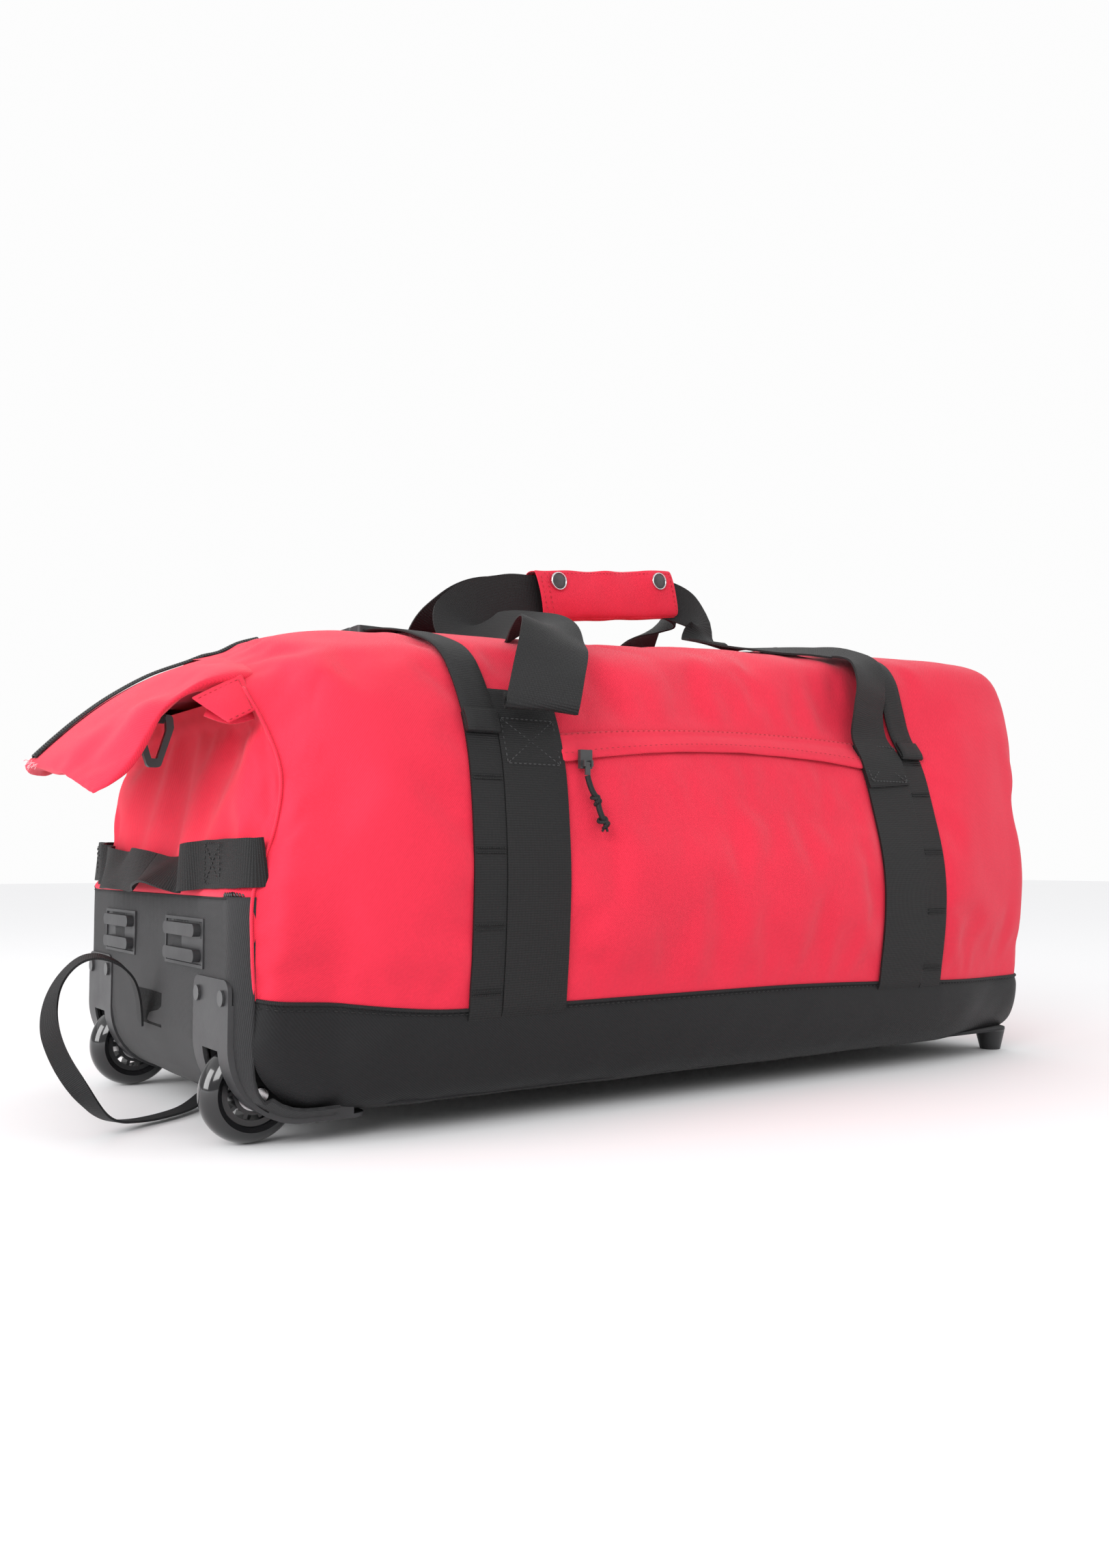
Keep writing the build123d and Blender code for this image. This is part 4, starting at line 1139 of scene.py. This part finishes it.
def make_ring_tab():
    """Folded webbing that holds the strap ring under the edge of the folded-out end."""
    (low, high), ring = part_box("ring_tab"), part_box("strap_ring")
    start = Vector(((low.x + high.x) / 2, (ring[0].y + ring[1].y) / 2, low.z))
    loop = [start + Vector((0, dy, dz)) * MM for dy, dz in (
        (16, 9), (9, 9.5), (4.6, 7.5), (2.8, 3), (0, 0.6), (-2.8, 3), (-2.4, 7.5), (2, 11.5), (14, 11.5))]
    webbing = straight_ribbon("ring_loop", loop, (high.x - low.x) / MM, 1.4, 0.002)
    ride(webbing, "bag")
    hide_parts("ring_tab")


def make_fray():
    """Worn seam ends at the middle of the tip, with a few loose threads."""
    pieces = []
    for k in range(15):
        f = k / 14
        root = at(-81 + 0.4 * f, 5 - 26 * f, 239 - 4 * f + 1.5 * sin(k * 2.4))
        end = root + Vector((-1.4 - sin(k * 1.9), 0.5 * sin(k * 4.1), -0.9 - 0.9 * cos(k * 2.7))) * 1.5 * MM
        mid = root.lerp(end, 0.5) + Vector((0, 0.6 * sin(k), 0.7)) * MM
        pieces.append(tube(f"fray_{k}", [root, mid, end], 0.00022, M["pale_thread"], 5, 0.001))
    ride(join(pieces, "frayed_threads"), "bag")


WIRE = ((-0.62, -0.45), (0.62, -0.45), (0.62, 0.45), (-0.62, 0.45))    # section of a zip's nylon wire


def coil_zip(name, line, ups, nodes, tape):
    """A closed coil zip along a line: woven tape, and a pair of nylon loops at every pitch."""
    n, pitch = len(line), 1.9 * MM
    verts, faces = [], []
    along, k, seg = 0.0, 0, (line[1] - line[0]).length
    for i in range(int(path_length(line) / pitch)):
        target = (i + 0.5) * pitch
        while along + seg < target and k < n - 2:
            along += seg
            k += 1
            seg = (line[k + 1] - line[k]).length
        p = line[k].lerp(line[k + 1], min(max((target - along) / seg, 0), 1))
        way, up = (line[k + 1] - line[k]).normalized(), ups[k]
        slant = (way * 0.35 + way.cross(up).normalized()).normalized()
        faces += tube_faces(5, 4, len(verts))
        for g, h in ((-2.1, 0.2), (-1.3, 1.35), (0, 1.75), (1.3, 1.35), (2.1, 0.2)):
            c = p + slant * g * MM + up * h * MM
            verts += [c + way * dx * MM + up * dz * MM for dx, dz in WIRE]
    coil = new_mesh(name + "_coil", verts, faces, M["zip"])
    rows = [[p + up * 0.1 * MM + heading(line, i).cross(up) * w * MM for w in (-tape, 0, tape)]
            for i, (p, up) in enumerate(zip(line, ups))]
    cloth = thicken(grid(name + "_tape", rows, M["tape"]), 0.0006, 0)
    made = ride(join([coil, cloth], name), "bag")
    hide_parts(*nodes)


def make_beak_zip():
    points = [at(75, 0, crest(75) + 0.8), at(60, 0, crest(60) - 0.4), at(46, 0, 323), at(34, 0, 319.2)]
    points += [beak_point(u, pi / 2) + Vector((-0.0002, 0, 0.0003)) for u in (1, 2, 3, 4, 5, 6, 6.7)]
    line = smooth_path(points, 0.006)
    ups = []
    for i in range(len(line)):
        way = heading(line, i)
        up = Vector((way.z, 0, -way.x)).normalized()
        ups.append(up if up.z > 0 else -up)
    coil_zip("top_end_zip", line, ups, ("beak_zip",), 5.0)


def make_end_zip():
    line = [at(2.4 + max(abs(y) - 146, 0) ** 2 * 0.05, y, 153.2) for y in range(-158, 159, 6)]
    coil_zip("panel_zip", line, [Vector((-0.8, 0, 0.6)).normalized()] * len(line), ("end_zip",), 3.4)


def make_main_zip():
    """The closed main zip: each lip carries its own half."""
    for name, _, side in HALVES:
        verts, faces = [], []
        t = MOUTH[0] + 3
        while t < MOUTH[1] - 3:
            p = at(t, side * 1.2, crest(t) + 0.1)
            faces += tube_faces(3, 4, len(verts), flip=side < 0)
            for g, h in ((0.0, 0.0), (1.4, 0.5), (2.8, -0.4)):
                for dx, dz in ((-0.65, -0.5), (0.65, -0.5), (0.65, 0.5), (-0.65, 0.5)):
                    verts.append(p + Vector((dx + (0.5 if side > 0 else 0), side * g, h + dz)) * MM)
            t += 2.0
        coil = new_mesh(f"main_coil_{name}", verts, faces, M["zip"])
        ts = [MOUTH[0] + (MOUTH[1] - MOUTH[0]) * i / 90 for i in range(91)]
        rows = [[at(t, side * w, crest(t) - 0.8) for w in (0.6, 4, 8)] for t in ts]
        tape = thicken(grid(f"main_tape_{name}", rows, M["tape"]), 0.0008, 0)
        made = join([coil, tape], f"main_zip_half_{name}")
        ride(made, f"lip_{name}")
        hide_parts(f"main_zip_{name}")


# ---- straps round the body ----
def round_body(t, top, lift):
    """Centre points from the front wall's top down, under the bag and up the back.

    They lie lift mm off the cloth, except that on the front they pass under the black base's cloth by as much.
    """
    walls, bases = [], []
    for side in (-1, 1):
        ss = [top * i / 14 for i in range(15)]
        walls.append([skin_point(t, s, side) + skin_normal(t, max(s, 0.1), side) * lift * MM for s in ss])
        base = []
        for s in (0.5, 1, 1.5, 2, 2.5, 3, 3.5, 4, 5):
            run = (base_point(t, s + 0.1, side) - base_point(t, s - 0.1, side)).normalized()
            base.append(base_point(t, s, side) + Vector((0, -run.z, run.y)) * lift * MM)
        bases.append(base)
    under = [at(t, y, UNDERSIDE - lift) for y in (-60, 60)]
    return walls[0][::-1] + bases[0] + under + bases[1][::-1] + walls[1]


def make_body_straps():
    # middle, whether it is wide, skin parameter of its top end
    for key, t, wide, top in (("wide_wheel_side", WIDE[0], True, 5.15), ("wide_foot_side", WIDE[1], True, 4.55),
                              ("thin_wheel_side", THIN[0], False, 4.6), ("thin_foot_side", THIN[1], False, 4.3)):
        width, lift, wander = (WIDE_WIDTH, 2.2, 0.9) if wide else (THIN_WIDTH, 1.7, 0.7)
        strap = straight_ribbon(f"strap_{key}", round_body(t, top, lift), width, 1.7, 0.005, 6)
        pucker(strap, wander)
        ride(strap, "bag")
        if wide:
            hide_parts("carry_straps")
            cross_stitch(f"cross_stitch_{key}", t, 3.4 if t == WIDE[0] else 5.6)
        else:
            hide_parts("daisy_straps")
            bar_tacks(f"bar_tacks_{key}", t, top)


def pucker(obj, height):
    """Lets webbing wander a little in its plane."""
    for v in obj.data.vertices:
        p = v.co
        v.co = p + Vector((noise.noise(Vector((p.z / 0.05, p.y / 0.08, p.x / 0.3))) * height * MM, 0, 0))


def cross_stitch(name, t, front_lift):
    """A stitched box with a cross in it, at the top of a wide strap."""
    for end, side, lift in (("front", -1, front_lift), ("back", 1, 3.4)):
        corners = [off_skin(t + dt, s, side, lift) for dt, s in ((-21, 3.5), (21, 3.5), (21, 4.5), (-21, 4.5))]
        ride(stitches(f"{name}_{end}", crossed_box(corners), M["grey_thread"], 2.4, 1.3, 0.4), "bag")


def bar_tacks(name, t, top):
    """Dense bars of stitching that divide a narrow strap into loops."""
    lines = []
    for side in (-1, 1):
        for s in (0.25, 1.2, 2.2, 3.2, top - 0.25):
            lift = skin_normal(t, s, side) * 3.0 * MM
            lines += [[skin_point(t + dt, s + ds, side) + lift for dt in (-11, 11)] for ds in (-0.03, 0.03)]
    ride(stitches(name, lines, M["thread"], 1.0, 0.25, 0.55), "bag")


def make_compression_straps():
    width = 24.6
    for key, t in (("wheel_side", THIN[0]), ("foot_side", THIN[1])):
        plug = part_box(f"buckle_plug_{key}")
        x, mid_z = X0 + t * MM, (plug[0].z + plug[1].z) / 2
        points = [Vector((x, plug[0].y + 0.004, mid_z)), Vector((x, plug[0].y - 0.006, mid_z - 0.001))]
        points += [off_skin(t, s, -1, 3.6 if s > 4.5 else 4.9)
                   for s in (8.2, 7.7, 7.2, 6.7, 6.2, 5.8, 5.4, 5.0, 4.6, 4.2)]
        strap = straight_ribbon(f"compression_{key}", points, width)
        hem = [off_skin(t, s, -1, lift)
               for s, lift in ((4.62, 5.9), (4.42, 6.7), (4.24, 6.9), (4.15, 5.6), (4.2, 3.9), (4.4, 3.1))]
        fold = straight_ribbon(f"compression_fold_{key}", hem, width, step=0.002)
        joined = join([strap, fold], f"compression_run_{key}")
        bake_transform(joined)
        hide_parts(f"compression_front_{key}")
        back = [Vector((x, 0.014, mid_z)), Vector((x, 0.024, mid_z - 0.0005))]
        back += [off_skin(t, s, 1, 3.6) for s in (8.0, 7.5, 7.0, 6.5, 6.0, 5.6, 5.2, 4.8, 4.4, 4.0)]
        run = ride(straight_ribbon(f"compression_rear_{key}", back, width), "bag")
        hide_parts("compression_back")


# ---- front pocket ----
def skin_at_height(t, z):
    """The front skin's parameter at a height on its wall."""
    low, high = 0.0, 6.0
    for _ in range(22):
        mid = (low + high) / 2
        if skin_point(t, mid, -1).z / MM < z:
            low = mid
        else:
            high = mid
    return low


def across_flap(t, f):
    """The skin's parameter at a share f of the way down the flap, from its seam to its edge."""
    low, high = pocket_levels(t)
    return skin_at_height(t, high + (low - high) * f)


def make_pocket():
    first, last = WIDE[0] + 23.5, WIDE[1] - 23.5
    ts = [first + (last - first) * i / 60 for i in range(61)]
    rows = []
    for f, lift in ((0, 0.9), (0.05, 1.7), (0.16, 2.2), (0.3, 1.5), (0.5, 2.6), (0.75, 3.6), (1.0, 4.0), (1.16, 2.9)):
        waves = [noise.noise(Vector((t / 26, f * 2, 4.2))) * f for t in ts]
        rows.append([off_skin(t, across_flap(t, f), -1, lift + wave) for t, wave in zip(ts, waves)])
    flap = grid("pocket_flap_cloth", rows, M["red"])
    thicken(flap, 0.0011, 1.0, 1)
    ride(flap, "bag")
    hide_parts("pocket_flap")
    lines = [[off_skin(t, across_flap(t, f), -1, lift) for t in ts] for f, lift in ((0.10, 2.6), (0.86, 5.6))]
    ride(stitches("pocket_topstitch", lines, M["red_thread"], 2.4, 1.1, 0.28), "bag")
    line, ups = [], []
    for i in range(51):
        t = POCKET[0] + 4 + (POCKET[1] - POCKET[0] - 8) * i / 50
        s = skin_at_height(t, pocket_levels(t)[0] + 3.5)
        ups.append(skin_normal(t, s, -1))
        line.append(skin_point(t, s, -1) + ups[-1] * MM)
    coil_zip("pocket_coil", line, ups, ("pocket_zip",), 4.0)


def make_lining():
    """Thin pocket lining behind the front wall, hung from the zip."""
    rows = []
    for f in (0, 0.1, 0.3, 0.5, 0.7, 0.9, 1.0):
        row = []
        for i in range(25):
            t = POCKET[0] + 6 + (POCKET[1] - POCKET[0] - 12) * i / 24
            z = pocket_levels(t)[0] + 4 - 140 * f
            depth = 6 + 9 * smooth(0, 0.15, f) + 2 * noise.noise(Vector((t / 40, z / 40, 7)))
            row.append(skin_point(t, skin_at_height(t, z), -1) + Vector((0, depth * MM, 0)))
        rows.append(row)
    lining = ride(thicken(grid("pocket_lining_cloth", rows, M["lining"]), 0.0006, 0), "bag")
    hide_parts("pocket_lining")


# ---- carry handle ----
WRAP_X = ((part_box("wrap_cover")[0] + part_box("wrap_cover")[1]) / 2).x
WRAP_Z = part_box("handle_core")[0].z / 2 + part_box("handle_core")[1].z / 2
TILT = radians(7)
WRAP_LONG, WRAP_SHEAR = 149.0, 0.12


def wrap_at(a, y, b):
    """A point of the wrap: a mm along it, y mm to the back, b mm up across it."""
    return Vector((WRAP_X + (a * cos(TILT) - b * sin(TILT)) * MM, y * MM,
                   WRAP_Z + (a * sin(TILT) + b * cos(TILT)) * MM))


# Outlines of the sleeve and of its front flap, in (y, b).
WRAP_SLEEVE = ((-5.2, -19.6), (-2, -20.4), (3, -20.2), (7.2, -17.5), (8.6, -9), (8.9, 0), (8.6, 10), (7.0, 17.5),
               (3, 20.3), (-2, 20.5), (-5.6, 19.4))
WRAP_FLAP = ((-4.8, -20.6), (-7.6, -18.5), (-9.2, -13), (-9.9, -4), (-9.9, 5), (-9.3, 14), (-8.0, 19.2), (-6.6, 21.0))


def make_wrap():
    for kind, body, node, section in (("sleeve", "carry_handle", "wrap_cover", WRAP_SLEEVE),
                                      ("flap", "wrap_flap", "wrap_flap", WRAP_FLAP)):
        flap = kind == "flap"
        rows = []
        for y, b in section:
            row = []
            for i in range(31):
                a = WRAP_LONG * (i / 30 - 0.5)
                wave = 2.1 * noise.noise(Vector((a / 26, b / 25, y / 20 + 3)))
                ends = 0.6 * smooth(0.84, 1.0, abs(2 * a / WRAP_LONG))
                row.append(wrap_at(a - WRAP_SHEAR * b, y * (1 + 0.05 * wave) - (wave + ends if flap else 0),
                                   b + wave * (0.7 if abs(b) > 15 else 0)))
            rows.append(row)
        obj = grid(f"wrap_{kind}_cloth", rows, M["red"], flip=flap)
        thicken(obj, 0.0012, 1.0 if flap else -1.0, 2)
        ride(obj, body)
        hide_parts(node)
    lines = [[wrap_at(a - WRAP_SHEAR * b, -11.6, b) for b in (-17, -9, 0, 9, 17)]
             for a in (4 - WRAP_LONG / 2, WRAP_LONG / 2 - 4, 10 - WRAP_LONG / 2)]
    lines.append([wrap_at(a, -10.4, 18.2) for a in range(-70, 71, 14)])
    ride(stitches("wrap_topstitch", lines, M["red_thread"], 2.3, 1.2, 0.3), "wrap_flap")
    caps, rims = [], []
    for a in (-55, 55):
        centre = wrap_at(a, -11.6, 11)
        caps.append(lathe(f"snap_{a}", centre, ((0, -2.0), (3.5, -1.9), (6.0, -1.4), (6.7, -0.9)), M["rivet"]))
        rims.append(lathe(f"rim_{a}", centre, ((6.5, -0.9), (6.8, -1.7), (7.4, -1.8), (7.8, -1.0), (7.8, 0.8)),
                          M["steel"]))
    snaps = ride(join(caps + rims, "snap_faces"), "wrap_flap")
    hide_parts("snap_caps")


def lathe(name, centre, profile, material, sides=40):
    """A round piece about Y: profile is (radius, place along the axis) in mm, from the middle out."""
    turns = [(cos(2 * pi * j / sides), sin(2 * pi * j / sides)) for j in range(sides)]
    verts = [centre + Vector((r * c, along, r * s)) * MM for r, along in profile for c, s in turns]
    return new_mesh(name, verts, tube_faces(len(profile), sides, caps=False), material)


# Each leg of the carry handle: its centre points (t, y, z), each followed by the direction of the webbing's width.
LEGS = {
    "front_wheel": ((199, -181, 285, 1, 0, 0), (199, -186, 278, 1, -0.1, 0), (197, -193, 274, 0.9, -0.45, 0),
                    (198, -195, 281, 0.85, -0.52, 0), (206, -189, 300, 0.86, -0.5, 0),
                    (219, -176, 322, 0.95, -0.25, -0.1), (231, -156, 337, 0.97, 0.2, -0.1),
                    (240, -128, 344, 0.9, 0.35, 0.25), (243, -96, 345, 0.72, 0.35, 0.6),
                    (243, -62, 348, 0.6, -0.2, 0.75), (240, -30, 354, 0.75, -0.5, 0.45),
                    (243, -8, 367, 0.8, -0.3, -0.5), (262, -4, 384, 0.55, -0.1, -0.83),
                    (290, -4, 394, 0.2, 0.0, -0.98), (316, -3, 396.5, 0.12, 0, -0.99),
                    (345, -3, 400, 0.12, 0, -0.99)),
    "back_wheel": ((199, 184, 285, 1, 0, 0), (198, 190, 302, 1, 0.1, 0), (204, 182, 326, 0.95, 0.25, 0),
                   (218, 152, 346, 0.9, 0.35, 0.1), (232, 110, 352, 0.8, 0.45, 0.2),
                   (240, 66, 357, 0.75, 0.5, 0.3), (250, 30, 372, 0.7, 0.3, -0.6),
                   (272, 8, 389, 0.35, 0.1, -0.93), (300, 4, 395, 0.15, 0, -0.98),
                   (345, 3, 400, 0.12, 0, -0.99)),
    "front_foot": ((556, -177.2, 235, 1, 0, 0), (554, -170.5, 256, 1, 0, 0), (550, -161, 276, 0.98, 0.12, 0),
                   (551, -160, 298, 0.95, 0.25, 0), (556, -158, 320, 0.94, 0.28, 0),
                   (561, -146, 341, 0.86, 0.4, 0.25), (560, -124, 353, 0.5, 0.75, 0.35),
                   (543, -104, 356.5, 0.35, 0.93, 0.3), (520, -82, 358.5, 0.55, 0.8, 0.25),
                   (498, -55, 362.5, 0.75, 0.62, 0.12), (490, -32, 367, 0.95, 0.3, -0.05),
                   (494, -14, 376, 0.85, 0.35, 0.4), (497, -8, 391, 0.75, 0.4, 0.55),
                   (486, -6, 402, 0.35, 0.2, 0.92), (468, -3, 409, 0.12, 0, 0.99),
                   (440, -3, 411, -0.12, 0, 0.99)),
    "back_foot": ((556, 184, 276, 1, 0, 0), (556, 190, 300, 1, 0.1, 0), (549, 180, 332, 0.98, 0.2, 0),
                  (526, 148, 352, 0.95, 0.3, 0), (502, 112, 361, 0.97, 0.2, 0), (484, 78, 373, 0.98, 0, 0.15),
                  (477, 50, 387, 0.9, 0, 0.4), (484, 26, 398, 0.65, 0.1, 0.75), (484, 9, 404, 0.3, 0.1, 0.95),
                  (468, 3, 410, 0.12, 0, 0.99), (440, 3, 411, -0.12, 0, 0.99)),
}


def make_handle_legs():
    for name, points in LEGS.items():
        centres = [at(*p[:3]) for p in points]
        leg = ribbon(f"handle_{name}", centres, [p[3:] for p in points], 49.0 if "front" in name else 47.0,
                     M["webbing"], 1.7, 0.004, 8, taper=0.72)
        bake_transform(leg)
        if name == "front_wheel":
            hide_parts("handle_webbing")


# ---- grab handle ----
GRAB = (    # (t, y, z) of its middle line and the direction across it, from the near corner to the far one
    (19.5, -163.5, 173, 0.38, 0.14, 1), (13, -162.5, 172.5, 0.3, 0.1, 1), (8, -159, 172.5, 0.22, 0, 1),
    (4, -151.5, 172, 0.1, 0, 1), (1.8, -141, 172, 0.08, 0, 1), (0.6, -129, 171.5, 0.05, 0, 1),
    (-0.2, -116, 171.5, 0, 0, 1), (-1.5, -107, 171, 0.05, 0, 1), (-8, -101, 170, 0.1, 0, 1),
    (-10.5, -94, 169, 0.1, 0.1, 1), (-6, -88, 168, 0.2, 0.1, 1), (-4.5, -82, 167, 0.45, 0.1, 0.9),
    (-9, -73, 167, 0.75, 0.15, 0.65), (-13, -62, 168, 0.85, 0.1, 0.5), (-14, -46, 167, 0.8, -0.1, 0.6),
    (-12.5, -30, 166, 0.6, 0, 0.8), (-14.5, -12, 167, 0.35, 0, 0.95), (-14, 10, 168, 0.3, 0, 0.95),
    (-13, 34, 167, 0.55, 0, 0.85), (-14.5, 56, 168, 0.3, 0, 0.95), (-10, 74, 169, 0.1, 0, 1),
    (-5, 86, 170, 0.2, 0, 1), (-8.5, 96, 171, 0.05, 0, 1), (-3, 107, 172, 0, 0, 1),
    (-0.2, 117, 172.5, 0, 0, 1), (0.6, 130, 173, 0.05, 0, 1), (1.8, 142, 173, 0.08, 0, 1),
    (4, 153, 173, 0.1, 0, 1), (8, 161, 173, 0.22, 0, 1), (13, 165, 173.5, 0.3, -0.1, 1),
    (19.5, 166, 173.5, 0.38, -0.14, 1))


def make_grab_handle():
    """Slack webbing across the wheel end, sewn down at both sides with a stitched box."""
    middle = len(GRAB) // 2 + 1
    for name, side, part in (("near", -1, GRAB[:middle]), ("far", 1, GRAB[middle - 1:])):
        half = ribbon(f"grab_handle_{name}", [at(*p[:3]) for p in part], [p[3:] for p in part], 30.0, M["webbing"],
                      1.8, 0.003)
        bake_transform(half)
        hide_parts("grab_handle_webbing", "grab_handle_ends")
        corners = [at(t, side * y, z) for t, y, z in
                   ((-1.4, 115, 159.5), (-0.2, 138, 159.5), (-0.4, 138, 184.5), (-1.4, 115, 184.5))]
        ride(stitches(f"grab_cross_{name}", crossed_box(corners), M["thread"], 2.2, 1.2, 0.4), "bag")


make_base()
make_base_seam()
make_end_panel()
make_end_wall()
make_beak()
make_gusset()
make_corner_seams()
make_ring_tab()
make_fray()
make_beak_zip()
make_end_zip()
make_main_zip()
make_body_straps()
make_compression_straps()
make_pocket()
make_lining()
make_wrap()
make_handle_legs()
make_grab_handle()


# ---- finish of the CAD nodes that stay as they are ----
def dress(node, material):
    obj = frame["nodes"][node]
    obj.data.materials.clear()
    obj.data.materials.append(material)
    return obj


FINISHES = {
    "plastic": ("brackets", "wheel_wells", "rub_plates", "feet", "buckle_sockets", "buckle_plug_wheel_side",
                "buckle_plug_foot_side", "strap_ring"),
    "tyre": ("tyre_near", "tyre_far"),
    "hub": ("hub_near", "hub_far"),
    "steel": ("axles", "axle_spacers", "bearings_near", "bearings_far", "rivet_washers", "snap_studs"),
    "rivet": ("bracket_rivets", "main_slider", "main_pull", "pocket_slider", "pocket_tab"),
    "lining": ("end_stiffener", "base_board"),
    "webbing": ("handle_core",),
    "hook": ("hook_patch",),
}
for key, names in FINISHES.items():
    for name in names:
        dress(name, M[key])


# ---- floor and light ----
def add_stage():
    floor = new_mesh("floor", [(-9, -9, 0), (9, -9, 0), (9, 9, 0), (-9, 9, 0)], [(0, 1, 2, 3)],
                     principled("pale_floor", (0.86, 0.86, 0.87), 0.75))
    floor.location.z = -0.0004
    sky = bpy.data.worlds.new("studio")
    sky.use_nodes = True
    tree = sky.node_tree
    ambient, output = tree.nodes["Background"], tree.nodes["World Output"]
    ambient.inputs["Color"].default_value = (1, 1, 1, 1)
    ambient.inputs["Strength"].default_value = 0.52
    backdrop = tree.nodes.new("ShaderNodeBackground")
    backdrop.inputs["Color"].default_value = (1, 1, 1, 1)
    backdrop.inputs["Strength"].default_value = 0.98
    seen, mix = tree.nodes.new("ShaderNodeLightPath"), tree.nodes.new("ShaderNodeMixShader")
    tree.links.new(seen.outputs["Is Camera Ray"], mix.inputs["Fac"])
    tree.links.new(ambient.outputs[0], mix.inputs[1])
    tree.links.new(backdrop.outputs[0], mix.inputs[2])
    tree.links.new(mix.outputs[0], output.inputs["Surface"])
    scene.world = sky
    sun = bpy.data.lights.new("even", "SUN")
    sun.energy, sun.angle = 1.6, radians(140)
    lamp = bpy.data.objects.new("even", sun)
    scene.collection.objects.link(lamp)
    for name, place, size, power in (("key", (-1.8, -1.4, 1.15), 1.1, 27), ("side", (-2.0, 0.1, 0.6), 1.0, 22),
                                     ("fill", (1.6, -1.7, 0.9), 1.4, 5)):
        data = bpy.data.lights.new(name, "AREA")
        data.size, data.energy = size, power
        light = bpy.data.objects.new(name, data)
        scene.collection.objects.link(light)
        light.location = place
        light.rotation_euler = (Vector((0, 0, 0.15)) - light.location).to_track_quat("-Z", "Y").to_euler()
    scene.view_settings.view_transform = "Standard"


add_stage()

bpy.context.view_layer.update()
